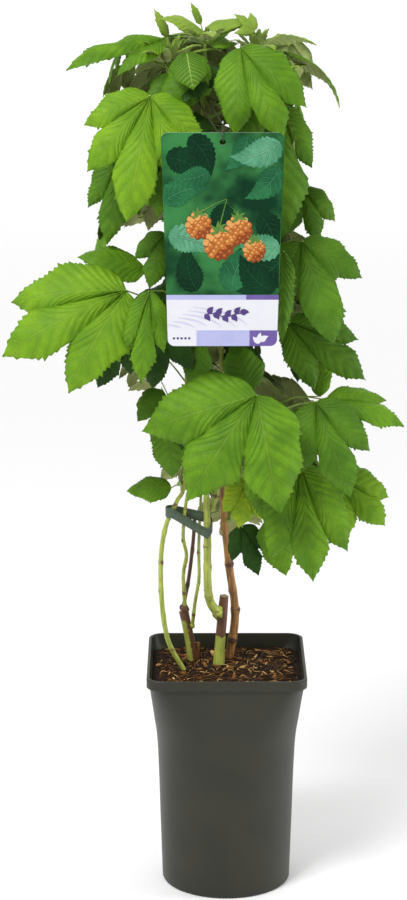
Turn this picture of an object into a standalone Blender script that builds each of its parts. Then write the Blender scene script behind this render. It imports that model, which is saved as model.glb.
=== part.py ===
"""A raspberry in a nursery pot: its canes, its leafy side shoots, a tie round the canes and a hang tag.

Metres, +Z up. The origin is the middle of the pot's underside, -Y is the front and +X the right.
"""

import math
import random
from dataclasses import dataclass, replace

import bmesh
import bpy
from mathutils import Matrix, Quaternion, Vector
from mathutils.bvhtree import BVHTree

GAP = 0.0003
SEED = 11

# The pot: a square rim on a round body.
POT_HEIGHT = 0.222
RIM_HALF = 0.075
RIM_CORNER = 0.014
RIM_BAND = 0.0095
RIM_EDGE = 0.001
RIM_WALL = 0.0028
FOOT_RADIUS = 0.0615
FOOT_BEVEL = 0.002
WAIST_RADIUS = 0.0650
WAIST_HEIGHT = 0.125
SHOULDER_HEIGHT = 0.185
SHOULDER_HALF = 0.0705
SHOULDER_CORNER = 0.040
NECK_HALF = 0.0725
NECK_CORNER = 0.026
# Half width and corner radius halfway from the waist to the shoulder, where the round body turns square.
BETWEEN = (0.0670, 0.0590)
POT_WALL = 0.0018
POT_FLOOR = 0.0025
CORNER_STEPS = 6
DRAIN_HOLES = 6
DRAIN_RADIUS = 0.005
DRAIN_RING = 0.042

# The compost and the cut feet of the canes.
SOIL_TOP = POT_HEIGHT - 0.013
CANE_FOOT = SOIL_TOP + GAP

# The tie is a flat strap round the left cane and the green cane.
TIE_WIDTH = 0.010
TIE_THICKNESS = 0.0009
TIE_SLACK = 0.0028
TIE_LEFT_HEIGHT = 0.366
TIE_FRONT_HEIGHT = 0.3435
TIE_BACK_HEIGHT = 0.357
TIE_TURN_STEPS = 6
TIE_RUN_STEPS = 4

# The hang tag is a stiff printed card, wider at its top, held by a loop through its hole.
TAG_TOP = 0.736
TAG_HEIGHT = 0.190
TAG_TOP_WIDTH = 0.108
TAG_FOOT_WIDTH = 0.097
TAG_MIDDLE = -0.005
TAG_CORNER = 0.006
TAG_THICKNESS = 0.0009
TAG_FACE = -0.102
TAG_CORNER_STEPS = 4
TAG_HOLE = 0.0027
TAG_HOLE_DROP = 0.0085
TAG_CUTTER_DEPTH = 0.01

# The loop goes through the tag's hole, round the back of the green cane and over the tag's top edge.
LOOP_RADIUS = 0.0008
LOOP_HEIGHT = 0.758
LOOP_LEAD = 0.012
LOOP_BEFORE_CARD = 0.0035
LOOP_TURN = 0.78
LOOP_DIP = 0.001
LOOP_STEPS = 3
LOOP_SIDES = 5

# Leaves: widths, lengths and places along a leaflet are shares of its length.
LEAFLET_WIDTH = 0.56
OUTER_SHARE = 0.74
OUTER_SPREAD = 1.85
BASE_STATION = 0.30
STATIONS = (0.34, 0.66, 0.86)
EDGE_DROP = 0.16
SIDE_SAG = 0.12
THICKNESS_SHARE = 1 / 60
LEAST_THICKNESS = 0.0004
STALK_RADIUS = 0.0011
STEM_RADIUS = 0.0019
STEM_REACH = 0.42
STALK_ARCH = 0.10
STALK_HOLD = 0.0025
ROOM = 0.0006
NUDGE = 0.004
NUDGE_TILT = 4.0
NUDGES = 14
DRAWS = 40

# What a leaf drawn by rule looks like: ranges in metres, and in degrees for its dip, spread and lean.
DRAWN_REACH = (0.025, 0.055)
DRAWN_RISE = (-0.012, 0.035)
DRAWN_LENGTH = (0.80, 1.15)
DRAWN_DIP = (35, 75)
DRAWN_SPREAD = (42, 54)
DRAWN_FACE = (35, 70)
DRAWN_FAN = 150
DRAWN_WANDER = 12

# The crown's half width against height, which the leaves drawn by rule keep to.
CROWN = (
    (0.29, 0.070), (0.38, 0.115), (0.50, 0.150), (0.62, 0.145), (0.74, 0.130), (0.80, 0.110), (0.84, 0.070),
)
CROWN_MIDDLE = Vector((-0.018, 0.010, 0.0))
# Seen from the front and a little above, what lies further back stands higher by this share of its depth.
VIEW_RISE = 0.2
# The crown's left and right edge from the front, by the height at which it is seen.
FRONT_EDGES = (
    (0.335, -0.005, 0.100), (0.363, -0.050, 0.130), (0.400, -0.068, 0.135), (0.437, -0.070, 0.135),
    (0.465, -0.088, 0.130), (0.488, -0.100, 0.120), (0.520, -0.125, 0.118), (0.566, -0.150, 0.120),
    (0.604, -0.140, 0.120), (0.631, -0.120, 0.095), (0.668, -0.112, 0.094), (0.705, -0.128, 0.080),
    (0.742, -0.130, 0.078), (0.770, -0.120, 0.085), (0.802, -0.130, 0.080), (0.821, -0.066, 0.026),
)
# Gaps through which the background shows from the front: middle (x, height as seen) and radius.
WINDOWS = (
    (0.072, 0.652, 0.013), (0.058, 0.507, 0.011), (-0.078, 0.624, 0.010),
    (-0.047, 0.497, 0.008), (-0.090, 0.594, 0.008),
)

FRONT = -90.0
GOLDEN_ANGLE = 137.5


@dataclass(frozen=True)
class Limb:
    """A cane, shoot or cut stub: points that it passes, and its radius at the foot and at the tip."""

    name: str
    path: tuple
    foot: float
    tip: float
    material: str = "green_bark"
    sides: int = 8


@dataclass(frozen=True)
class Leaf:
    """A compound leaf: where its stalk ends, where its end leaflet's tip is, and how its blade is turned.

    `face` is how far the upper side leans from straight up (0) to the horizontal direction `facing` (90).
    `side` is the length of the side leaflets and `notch` how far out the cuts between leaflets begin, as
    shares of the end leaflet's length.
    """

    hub: tuple
    tip: tuple
    leaflets: int = 3
    spread: float = 46.0
    face: float = 55.0
    width: float = LEAFLET_WIDTH
    side: float = 0.84
    notch: float = 0.50
    arch: float = 0.10
    facing: float = FRONT


@dataclass(frozen=True)
class Mass:
    """A mass of foliage: a side shoot on a limb, the leaves placed on it and how many are drawn by rule.

    With no height it grows on from the limb's tip. `bearing` and `length` are for the leaves drawn by rule.
    """

    name: str
    limb: str
    height: float
    leaves: tuple = ()
    drawn: int = 0
    bearing: float = 90.0
    length: float = 0.095


LIMBS = (
    Limb("brown_cane", (
        (0.003, 0.034, CANE_FOOT), (0.0085, 0.034, 0.256), (0.002, 0.030, 0.309), (-0.003, 0.028, 0.375),
        (0.001, 0.022, 0.488), (0.010, 0.012, 0.613), (0.020, 0.002, 0.734), (0.026, 0.000, 0.775),
    ), 0.0042, 0.0018, "brown_bark"),
    Limb("cut_stub", (
        (-0.007, 0.018, CANE_FOOT), (-0.0055, 0.019, 0.236), (-0.002, 0.021, 0.277),
    ), 0.0056, 0.0042),
    Limb("green_cane", (
        (-0.0082, 0.013, 0.262), (-0.0155, 0.010, 0.274), (-0.018, 0.006, 0.297), (-0.018, 0.005, 0.345),
        (-0.019, 0.004, 0.380), (-0.021, 0.000, 0.521), (-0.024, 0.000, 0.661), (-0.021, 0.000, 0.790),
    ), 0.0044, 0.0019),
    Limb("green_fork", (
        (-0.0140, 0.0079, 0.366), (-0.0095, 0.0105, 0.382), (-0.007, 0.010, 0.402),
        (-0.006, 0.006, 0.470), (-0.005, -0.004, 0.530),
    ), 0.0026, 0.0016),
    Limb("left_cane", (
        (-0.041, 0.000, CANE_FOOT), (-0.055, -0.003, 0.238), (-0.061, -0.005, 0.275),
        (-0.062, -0.005, 0.320), (-0.057, -0.003, 0.353), (-0.047, 0.000, 0.375), (-0.039, 0.006, 0.40),
        (-0.038, 0.010, 0.519), (-0.045, 0.008, 0.660), (-0.053, 0.002, 0.765),
    ), 0.0025, 0.0015),
    Limb("left_stub", (
        (-0.032, 0.030, CANE_FOOT), (-0.036, 0.030, 0.235), (-0.041, 0.030, 0.2595),
    ), 0.0048, 0.0046),
    Limb("knotted_shoot", (
        (-0.0395, 0.0285, 0.2607), (-0.041, 0.020, 0.297), (-0.038, 0.010, 0.320),
        (-0.041, 0.0008, 0.341), (-0.0385, 0.0005, 0.372), (-0.033, 0.012, 0.405), (-0.031, 0.020, 0.480),
    ), 0.0019, 0.0013, sides=6),
    Limb("dark_shoot", (
        (-0.0415, 0.0325, 0.2603), (-0.0355, 0.034, 0.293), (-0.032, 0.034, 0.323), (-0.030, 0.033, 0.352),
    ), 0.0019, 0.0017, "brown_bark", 6),
    Limb("side_shoot", (
        (-0.0325, 0.0255, 0.245), (-0.030, 0.018, 0.270), (-0.0262, 0.013, 0.295), (-0.0262, 0.014, 0.315),
        (-0.026, 0.017, 0.338), (-0.024, 0.024, 0.38), (-0.022, 0.030, 0.46),
    ), 0.0017, 0.0013, sides=6),
)

MASSES = (
    Mass("top_shoot", "green_cane", 0.0, (
        Leaf((-0.022, 0.000, 0.813), (-0.061, -0.010, 0.828), 1, face=35, width=0.42),
        Leaf((-0.020, 0.000, 0.816), (0.027, 0.008, 0.822), 1, face=30, width=0.36),
        Leaf((-0.024, 0.000, 0.820), (-0.033, -0.002, 0.840), 1, face=70, width=0.30),
        Leaf((-0.016, 0.008, 0.801), (-0.001, 0.034, 0.814), 3, face=20)), 1, 75, 0.045),
    Mass("top_front", "green_cane", 0.772, (
        Leaf((-0.037, -0.040, 0.800), (-0.031, -0.055, 0.768), 1, face=75, width=0.95, arch=0.06),
        Leaf((-0.019, -0.024, 0.789), (-0.060, -0.036, 0.746), 1, face=70, width=0.66))),
    Mass("top_left", "left_cane", 0.0, (
        Leaf((-0.056, -0.008, 0.807), (-0.144, -0.040, 0.787), 3, 17, face=35, width=0.38, side=0.62),
        Leaf((-0.054, 0.004, 0.808), (-0.066, 0.000, 0.834), 1, face=60, width=0.30),
        Leaf((-0.057, 0.008, 0.786), (-0.087, -0.002, 0.778), 3, 36, face=-40, side=0.7),
        Leaf((-0.053, -0.016, 0.778), (-0.070, -0.028, 0.750), 1, face=70)), 2, 110, 0.06),
    Mass("top_right", "brown_cane", 0.0, (
        Leaf((0.032, -0.004, 0.806), (0.080, -0.010, 0.805), 1, face=-25, width=0.40),
        Leaf((0.024, 0.002, 0.815), (0.006, 0.004, 0.830), 3, face=40, width=0.45),
        Leaf((0.028, 0.006, 0.800), (0.048, 0.026, 0.792), 3, face=20)), 1, 60, 0.06),
    Mass("right_crest", "brown_cane", 0.745, (
        Leaf((0.050, 0.010, 0.795), (0.104, 0.000, 0.748), 1, face=-20, width=0.30, arch=0.14),
    ), 2, 40, 0.07),
    Mass("upper_right", "brown_cane", 0.722, (
        Leaf((0.011, -0.045, 0.804), (0.049, -0.080, 0.727), 3, 28, 70, width=0.50, side=0.86, notch=0.58),
    )),
    Mass("right_hanging", "brown_cane", 0.690, (
        Leaf((0.046, -0.038, 0.752), (0.048, -0.055, 0.632), 3, 30, 75, width=0.46, side=0.52, notch=0.4),
    )),
    Mass("inner_right", "green_cane", 0.735, (
        Leaf((0.031, -0.024, 0.763), (0.007, -0.044, 0.716), 1, face=70, width=0.62),)),
    Mass("right_curled", "brown_cane", 0.640, (
        Leaf((0.068, 0.000, 0.672), (0.083, -0.012, 0.624), 3, 34, face=60, width=0.50, arch=0.2),)),
    Mass("upper_left", "left_cane", 0.705, (
        Leaf((-0.069, -0.048, 0.761), (-0.090, -0.085, 0.654), 5, 34, face=72, width=0.50, side=0.76),)),
    Mass("left_hanging", "left_cane", 0.655, (
        Leaf((-0.095, -0.018, 0.708), (-0.109, -0.036, 0.626), 3, 26, face=70, width=0.42, side=0.7),
        Leaf((-0.060, -0.016, 0.676), (-0.106, -0.034, 0.642), 3, 36, face=-70, width=0.60, side=0.7))),
    Mass("left_side", "left_cane", 0.575, (
        Leaf((-0.075, -0.030, 0.601), (-0.135, -0.040, 0.617), 1, face=40, width=0.60),
        Leaf((-0.056, -0.036, 0.636), (-0.071, -0.050, 0.588), 3, 40, face=75, side=0.7))),
    Mass("left_middle", "left_cane", 0.540, (
        Leaf((-0.091, -0.060, 0.588), (-0.203, -0.080, 0.533), 3, 30, face=62, width=0.54, arch=0.12),
        Leaf((-0.092, -0.036, 0.548), (-0.119, -0.045, 0.495), 3, 32, face=70, side=0.7))),
    Mass("front_left", "green_cane", 0.560, (
        Leaf((-0.070, -0.074, 0.591), (-0.078, -0.090, 0.509), 3, 20, face=75, width=0.36, side=0.68),
        Leaf((-0.060, -0.030, 0.552), (-0.069, -0.040, 0.493), 3, face=75))),
    Mass("front_upper", "green_cane", 0.680, (
        Leaf((-0.020, -0.050, 0.705), (-0.034, -0.080, 0.632), 3, face=70),), 1, -60, 0.08),
    Mass("front_middle", "green_cane", 0.600, (
        Leaf((-0.002, -0.050, 0.623), (0.011, -0.078, 0.550), 3, face=70),), 1, -120, 0.08),
    Mass("right_middle", "brown_cane", 0.585, (
        Leaf((0.066, -0.050, 0.631), (0.096, -0.080, 0.543), 3, 48, face=60, width=0.52, side=0.66),
        Leaf((0.049, -0.072, 0.626), (0.048, -0.087, 0.546), 1, face=75, width=0.26))),
    Mass("right_inner", "brown_cane", 0.515, (
        Leaf((0.056, -0.014, 0.550), (0.128, -0.028, 0.499), 3, 30, face=65, width=0.46, side=0.76),
        Leaf((0.069, 0.010, 0.540), (0.066, 0.004, 0.489), 1, face=75, width=0.50)), 1, 30, 0.08),
    Mass("right_low", "brown_cane", 0.450, (
        Leaf((0.091, -0.042, 0.483), (0.162, -0.050, 0.461), 3, 29, face=45, width=0.46, side=0.77),
        Leaf((0.086, 0.012, 0.474), (0.092, 0.014, 0.518), 1, face=80, width=0.42))),
    Mass("centre_low", "green_fork", 0.470, (
        Leaf((0.026, -0.088, 0.498), (-0.037, -0.112, 0.406), face=65, width=0.58, side=0.96, notch=0.42),
        Leaf((0.022, -0.058, 0.496), (0.004, -0.040, 0.536), 1, face=75, width=0.80))),
    Mass("low_right", "brown_cane", 0.420, (
        Leaf((0.080, -0.058, 0.485), (0.112, -0.080, 0.400), 3, 33, face=72, width=0.52, side=0.72),)),
    Mass("low_right_hanging", "brown_cane", 0.385, (
        Leaf((0.067, -0.050, 0.423), (0.079, -0.082, 0.321), 3, 26, face=75, width=0.46),
        Leaf((0.040, -0.012, 0.362), (0.056, -0.014, 0.306), 1, face=75))),
    Mass("low_right_side", "brown_cane", 0.405, (
        Leaf((0.100, -0.020, 0.405), (0.148, -0.032, 0.361), 3, 30, face=60, width=0.60),), 1, 25, 0.08),
    Mass("low_centre", "green_fork", 0.425, (
        Leaf((0.020, -0.022, 0.403), (0.011, -0.032, 0.358), 3, 30, face=80, width=0.60),
        Leaf((0.026, -0.040, 0.430), (0.038, -0.050, 0.366), 1, face=75, width=0.45))),
    Mass("low_back", "brown_cane", 0.350, (
        Leaf((0.014, -0.002, 0.352), (0.030, -0.012, 0.306), 3, 36, face=75, width=0.50, side=0.7),
        Leaf((0.004, 0.046, 0.350), (0.006, 0.060, 0.312), 1, face=75, facing=90))),
    Mass("low_left", "left_cane", 0.392, (
        Leaf((-0.052, 0.010, 0.386), (-0.095, 0.016, 0.382), 1, face=52, width=0.58),)),
    Mass("left_low", "left_cane", 0.430, (
        Leaf((-0.055, -0.010, 0.457), (-0.051, -0.016, 0.402), 1, face=80, width=0.62),
        Leaf((-0.060, -0.012, 0.486), (-0.083, -0.022, 0.458), 1, face=70, width=0.66),
        Leaf((-0.062, 0.004, 0.492), (-0.092, -0.004, 0.484), 1, face=-50))),
    Mass("inner_left", "green_cane", 0.500, (
        Leaf((-0.026, -0.024, 0.534), (-0.029, -0.034, 0.484), 1, face=80, width=0.50),), 1, 160, 0.07),
    Mass("back_low_left", "side_shoot", 0.410, (), 3, 125, 0.085),
    Mass("back_low_right", "brown_cane", 0.435, (), 3, 60, 0.085),
    Mass("back_left", "knotted_shoot", 0.465, (), 2, 105, 0.080),
    Mass("back_middle", "green_cane", 0.530, (), 3, 95, 0.100),
    Mass("back_right", "brown_cane", 0.560, (), 3, 45, 0.095),
    Mass("back_upper_left", "left_cane", 0.625, (), 3, 130, 0.095),
    Mass("back_upper", "green_cane", 0.650, (), 3, 80, 0.095),
    Mass("back_upper_right", "brown_cane", 0.670, (), 2, 85, 0.065),
    Mass("back_top", "green_cane", 0.720, (), 2, 100, 0.085),
)

COLORS = {
    "pot_plastic": ((0.062, 0.063, 0.052), 0.55),
    "compost": ((0.055, 0.028, 0.014), 0.95),
    "green_bark": ((0.36, 0.45, 0.10), 0.55),
    "brown_bark": ((0.22, 0.10, 0.035), 0.75),
    "leaf_green": ((0.13, 0.33, 0.035), 0.50),
    "strap_green": ((0.035, 0.065, 0.040), 0.50),
    "tag_card": ((0.80, 0.80, 0.84), 0.35),
    "loop_plastic": ((0.75, 0.76, 0.72), 0.40),
}


def clear_scene():
    for obj in list(bpy.data.objects):
        bpy.data.objects.remove(obj, do_unlink=True)


def make_materials():
    made = {}
    for name, (color, roughness) in COLORS.items():
        material = bpy.data.materials.new(name)
        material.use_nodes = True
        shader = material.node_tree.nodes["Principled BSDF"]
        shader.inputs["Base Color"].default_value = (*color, 1.0)
        shader.inputs["Roughness"].default_value = roughness
        shader.inputs["Metallic"].default_value = 0.0
        material.diffuse_color = (*color, 1.0)
        made[name] = material
    return made


def object_from(name, bm, material=None):
    """Turns a bmesh into an object in the scene, with its faces facing out."""
    bmesh.ops.recalc_face_normals(bm, faces=bm.faces)
    mesh = bpy.data.meshes.new(name)
    bm.to_mesh(mesh)
    bm.free()
    obj = bpy.data.objects.new(name, mesh)
    bpy.context.scene.collection.objects.link(obj)
    if material:
        mesh.materials.append(material)
    return obj


def smooth(obj, angle=40.0):
    obj.data.shade_smooth()
    obj.data.set_sharp_from_angle(angle=math.radians(angle))


def loft(rings, closed=False):
    """A closed skin over rings of points that have one count, capped at both ends unless it runs round."""
    bm = bmesh.new()
    loops = [[bm.verts.new(point) for point in ring] for ring in rings]
    for lower, upper in zip(loops, loops[1:] + loops[:1] if closed else loops[1:]):
        for index in range(len(lower)):
            follow = (index + 1) % len(lower)
            bm.faces.new((lower[index], lower[follow], upper[follow], upper[index]))
    if not closed:
        bm.faces.new(loops[0])
        bm.faces.new(loops[-1])
    return bm


def curve_through(points, steps, closed=False):
    """Points on a Catmull-Rom curve, `steps` for each stretch between two given points."""
    given = [Vector(point) for point in points]
    count = len(given)
    found = []
    for index in range(count if closed else count - 1):
        if closed:
            a, b, c, d = (given[(index + shift) % count] for shift in (-1, 0, 1, 2))
        else:
            b, c = given[index], given[index + 1]
            a = given[index - 1] if index else 2 * b - c
            d = given[index + 2] if index + 2 < count else 2 * c - b
        for step in range(steps):
            t = step / steps
            found.append(0.5 * (2 * b + (c - a) * t + (2 * a - 5 * b + 4 * c - d) * t * t
                                + (3 * b - a - 3 * c + d) * t * t * t))
    return found if closed else found + [given[-1]]


def rings_along(path, radii, sides, level_foot=False):
    """Rings of points round a path, kept from twisting. A level foot is a flat cut."""
    turn_from = Vector((1.0, 0.0, 0.0))
    rings = []
    for index, point in enumerate(path):
        along = (path[min(index + 1, len(path) - 1)] - path[max(index - 1, 0)]).normalized()
        if index == 0 and level_foot:
            along = Vector((0.0, 0.0, 1.0))
        across = (turn_from - turn_from.dot(along) * along).normalized()
        turn_from = across
        other = along.cross(across)
        rings.append([point + radii[index] * (math.cos(turn) * across + math.sin(turn) * other)
                      for turn in (2 * math.pi * side / sides for side in range(sides))])
    return rings


def tapered(foot, tip, count):
    return [foot + (tip - foot) * index / (count - 1) for index in range(count)]


def unit(bearing):
    angle = math.radians(bearing)
    return Vector((math.cos(angle), math.sin(angle), 0.0))


def rounded_square(half, corner, height):
    """A square with round corners, anticlockwise. With corners nearly half its side it is round."""
    ring = []
    inner = half - corner
    for quarter in range(4):
        middle = Matrix.Rotation(quarter * math.pi / 2, 3, "Z") @ Vector((inner, inner, height))
        for step in range(CORNER_STEPS + 1):
            ring.append(middle + corner * unit(90 * (quarter + step / CORNER_STEPS)))
    return ring


def pot_sections():
    """The outside of the pot's body from the foot up to the rim, as (height, half width, corner radius)."""
    neck = POT_HEIGHT - RIM_BAND
    return (
        (FOOT_BEVEL, FOOT_RADIUS, FOOT_RADIUS - GAP),
        (WAIST_HEIGHT, WAIST_RADIUS, WAIST_RADIUS - GAP),
        ((WAIST_HEIGHT + SHOULDER_HEIGHT) / 2, *BETWEEN),
        (SHOULDER_HEIGHT, SHOULDER_HALF, SHOULDER_CORNER),
        ((SHOULDER_HEIGHT + neck) / 2, (SHOULDER_HALF + NECK_HALF) / 2, NECK_CORNER),
        (neck, NECK_HALF, RIM_CORNER),
    )


def inside_sections(wall):
    """The pot's inside at `wall` from the body's outside, from the floor up to the rim."""
    rings = [(POT_FLOOR, FOOT_RADIUS - wall, FOOT_RADIUS - wall - GAP)]
    rings += [(height, half - wall, corner - wall) for height, half, corner in pot_sections()[1:]]
    return rings


def drill(obj, name, radius, depth, place):
    """Cuts a round hole, by a hidden cylinder that stands on the place's own Z."""
    bm = bmesh.new()
    bmesh.ops.create_cone(bm, cap_ends=True, segments=12, radius1=radius, radius2=radius, depth=depth,
                          matrix=place)
    cutter = object_from(name, bm)
    cutter.hide_render = True
    cutter.display_type = "WIRE"
    cut = obj.modifiers.new(name, "BOOLEAN")
    cut.operation = "DIFFERENCE"
    cut.object = cutter


def make_pot(material):
    body = [rounded_square(FOOT_RADIUS - FOOT_BEVEL, FOOT_RADIUS - FOOT_BEVEL - GAP, 0.0)]
    body += [rounded_square(half, corner, height) for height, half, corner in pot_sections()]
    body.append(rounded_square(RIM_HALF, RIM_CORNER, POT_HEIGHT - RIM_BAND))
    body.append(rounded_square(RIM_HALF, RIM_CORNER, POT_HEIGHT - RIM_EDGE))
    body.append(rounded_square(RIM_HALF - RIM_EDGE, RIM_CORNER, POT_HEIGHT))
    body.append(rounded_square(RIM_HALF - RIM_WALL, RIM_CORNER - RIM_EDGE, POT_HEIGHT))
    for height, half, corner in reversed(inside_sections(POT_WALL)):
        body.append(rounded_square(half, corner, height))
    pot = object_from("pot", loft(body), material)
    for index in range(DRAIN_HOLES):
        place = Matrix.Translation(DRAIN_RING * unit(360 * (index + 0.5) / DRAIN_HOLES))
        drill(pot, f"drain_cutter_{index + 1}", DRAIN_RADIUS, 4 * POT_FLOOR, place)
    return pot


def make_soil(material):
    """The compost: it fills the pot's inside, a hair clear of it, up to its flat top."""
    sections = inside_sections(POT_WALL + GAP)
    low = max(section for section in sections if section[0] < SOIL_TOP)
    high = min(section for section in sections if section[0] >= SOIL_TOP)
    share = (SOIL_TOP - low[0]) / (high[0] - low[0])
    foot = (POT_FLOOR + GAP, *sections[0][1:])
    top = tuple(a + share * (b - a) for a, b in zip(low, high))
    below = [section for section in sections[1:] if section[0] < SOIL_TOP]
    rings = [rounded_square(half, corner, height) for height, half, corner in (foot, *below, top)]
    return object_from("soil", loft(rings), material)


class Cane:
    """A limb's smooth centre line and radii, with the questions that the side shoots ask of it."""

    def __init__(self, limb):
        self.limb = limb
        self.path = curve_through(limb.path, 3)
        self.radii = tapered(limb.foot, limb.tip, len(self.path))

    def mesh(self):
        return loft(rings_along(self.path, self.radii, self.limb.sides, level_foot=True))

    def at(self, height):
        """The centre and radius at a height, and the centre line's direction there."""
        for index, (low, high) in enumerate(zip(self.path, self.path[1:])):
            if low.z <= height <= high.z:
                share = (height - low.z) / (high.z - low.z)
                radius = self.radii[index] + share * (self.radii[index + 1] - self.radii[index])
                return low.lerp(high, share), radius, (high - low).normalized()
        raise ValueError(f"{self.limb.name} doesn't pass {height}")

    def end(self):
        return self.path[-1], (self.path[-1] - self.path[-2]).normalized()


def half_turn(centre, reach, bearing, start, end):
    """Stations of the strap round the back of a cane, as (place, outward direction)."""
    found = []
    for step in range(TIE_TURN_STEPS + 1):
        share = step / TIE_TURN_STEPS
        out = unit(bearing + 180 * share)
        place = centre + reach * out
        place.z = start + share * (end - start)
        found.append((place, out))
    return found


def straight_run(start, end, bearing):
    """Stations of the strap between two places, without the places themselves."""
    shares = (step / TIE_RUN_STEPS for step in range(1, TIE_RUN_STEPS))
    return [(start.lerp(end, share), unit(bearing)) for share in shares]


def make_tie(canes, material):
    """A strap drawn tight round the left and the green cane, lower at the front of the green one."""
    left, left_radius, _ = canes["left_cane"].at(TIE_LEFT_HEIGHT)
    right, right_radius, _ = canes["green_cane"].at(TIE_FRONT_HEIGHT)
    off = 2 * GAP + TIE_THICKNESS / 2
    round_left = half_turn(left, left_radius + TIE_SLACK + off, 90, TIE_LEFT_HEIGHT, TIE_LEFT_HEIGHT)
    round_right = half_turn(right, right_radius + off, -90, TIE_FRONT_HEIGHT, TIE_BACK_HEIGHT)
    stations = round_left + straight_run(round_left[-1][0], round_right[0][0], -90)
    stations += round_right + straight_run(round_right[-1][0], round_left[0][0], 90)
    rise = Vector((0, 0, TIE_WIDTH / 2))
    rings = []
    for middle, out in stations:
        wall = out * TIE_THICKNESS / 2
        outer, inner = middle + wall, middle - wall
        rings.append([inner - rise, outer - rise, outer + rise, inner + rise])
    return object_from("tie", loft(rings, closed=True), material)


def tag_outline():
    """The card's outline, anticlockwise from its lower right corner: the foot is narrower than the top."""
    foot, top = TAG_FOOT_WIDTH / 2 - TAG_CORNER, TAG_TOP_WIDTH / 2 - TAG_CORNER
    low, high = TAG_TOP - TAG_HEIGHT + TAG_CORNER, TAG_TOP - TAG_CORNER
    points = []
    for quarter, (x, z) in enumerate(((foot, low), (top, high), (-top, high), (-foot, low))):
        middle = Vector((TAG_MIDDLE + x, TAG_FACE, z))
        for step in range(TAG_CORNER_STEPS + 1):
            angle = math.pi / 2 * (quarter - 1 + step / TAG_CORNER_STEPS)
            points.append(middle + TAG_CORNER * Vector((math.cos(angle), 0.0, math.sin(angle))))
    return points


def make_tag(material):
    outline = tag_outline()
    depth = Vector((0, TAG_THICKNESS, 0))
    tag = object_from("hang_tag", loft([outline, [point + depth for point in outline]]), material)
    hole = Matrix.Translation((TAG_MIDDLE, TAG_FACE, TAG_TOP - TAG_HOLE_DROP))
    drill(tag, "tag_hole_cutter", TAG_HOLE, TAG_CUTTER_DEPTH, hole @ Matrix.Rotation(math.pi / 2, 4, "X"))
    return tag


def make_loop(canes, material):
    """A thin loop through the tag's hole, round the back of the green cane and over the tag's top edge."""
    hole = TAG_TOP - TAG_HOLE_DROP + TAG_HOLE - LOOP_RADIUS - GAP
    cane, radius, _ = canes["green_cane"].at(LOOP_HEIGHT)
    reach = radius + LOOP_RADIUS + GAP
    turn = LOOP_TURN * reach
    card = TAG_FACE + TAG_THICKNESS / 2
    above = TAG_TOP + LOOP_RADIUS + 4 * GAP
    behind_card = card + LOOP_LEAD
    before_cane = cane.y - LOOP_LEAD
    path = (
        (TAG_MIDDLE, TAG_FACE - LOOP_BEFORE_CARD, (hole + above) / 2),
        (TAG_MIDDLE, card, hole),
        (TAG_MIDDLE - 2 * LOOP_DIP, behind_card, hole + 2 * LOOP_DIP),
        (cane.x - reach - LOOP_DIP, before_cane, LOOP_HEIGHT - 6 * LOOP_DIP),
        (cane.x - turn, cane.y + turn, LOOP_HEIGHT - LOOP_DIP),
        (cane.x, cane.y + reach, LOOP_HEIGHT),
        (cane.x + turn, cane.y + turn, LOOP_HEIGHT - LOOP_DIP),
        (cane.x + reach + LOOP_DIP, before_cane, LOOP_HEIGHT - 4 * LOOP_DIP),
        (TAG_MIDDLE, behind_card, above + 3 * LOOP_DIP),
        (TAG_MIDDLE, card, above),
    )
    centre = curve_through(path, LOOP_STEPS, closed=True)
    rings = []
    for index, point in enumerate(centre):
        along = (centre[(index + 1) % len(centre)] - centre[index - 1]).normalized()
        turned = Vector((0, 0, 1)).rotation_difference(along)
        ring = (turned @ unit(360 * side / LOOP_SIDES) for side in range(LOOP_SIDES))
        rings.append([point + LOOP_RADIUS * direction for direction in ring])
    return object_from("tag_loop", loft(rings, closed=True), material)


def outline(t):
    """A leaflet's half width as a share of its greatest, from its base (0) to its drawn-out tip (1)."""
    return 3.21 * t ** 0.6 * (1 - t) ** 1.25


@dataclass(frozen=True)
class Leaflet:
    """One leaflet's midrib from base to tip, the direction of its upper side and its half width."""

    base: Vector
    tip: Vector
    up: Vector
    half_width: float
    arch: float

    def point(self, t, side):
        """A point of the blade: t runs along the midrib, and side from -1 to 1 across."""
        chord = self.tip - self.base
        length = chord.length
        across = chord.cross(self.up).normalized()
        half = self.half_width * outline(t)
        return (self.base + t * chord + self.arch * length * 4 * t * (1 - t) * self.up
                + side * half * across - EDGE_DROP * half * side * side * self.up)

    def thickness(self):
        return (self.tip - self.base).length * THICKNESS_SHARE + LEAST_THICKNESS


def perpendicular(direction, axis):
    return (direction - direction.dot(axis) * axis).normalized()


def leaflets_of(leaf):
    """The leaflets of a compound leaf in their order round it: the end one has its pairs to both sides."""
    hub, tip = Vector(leaf.hub), Vector(leaf.tip)
    axis = (tip - hub).normalized()
    length = (tip - hub).length
    lean = math.radians(leaf.face)
    up = perpendicular(math.cos(lean) * Vector((0, 0, 1)) + math.sin(lean) * unit(leaf.facing), axis)
    found = [Leaflet(hub, tip, up, length * leaf.width / 2, leaf.arch)]
    for pair in range(leaf.leaflets // 2):
        reach = length * leaf.side * (OUTER_SHARE if pair else 1.0)
        angle = leaf.spread * (OUTER_SPREAD if pair else 1.0)
        for side in (-1, 1):
            turned = Quaternion(up, math.radians(side * angle)) @ axis
            away = (turned - SIDE_SAG * Vector((0, 0, 1))).normalized()
            tip = hub + reach * away
            leaflet = Leaflet(hub, tip, perpendicular(up, away), reach * leaf.width / 2, leaf.arch)
            found.insert(len(found) if side > 0 else 0, leaflet)
    return found


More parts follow.
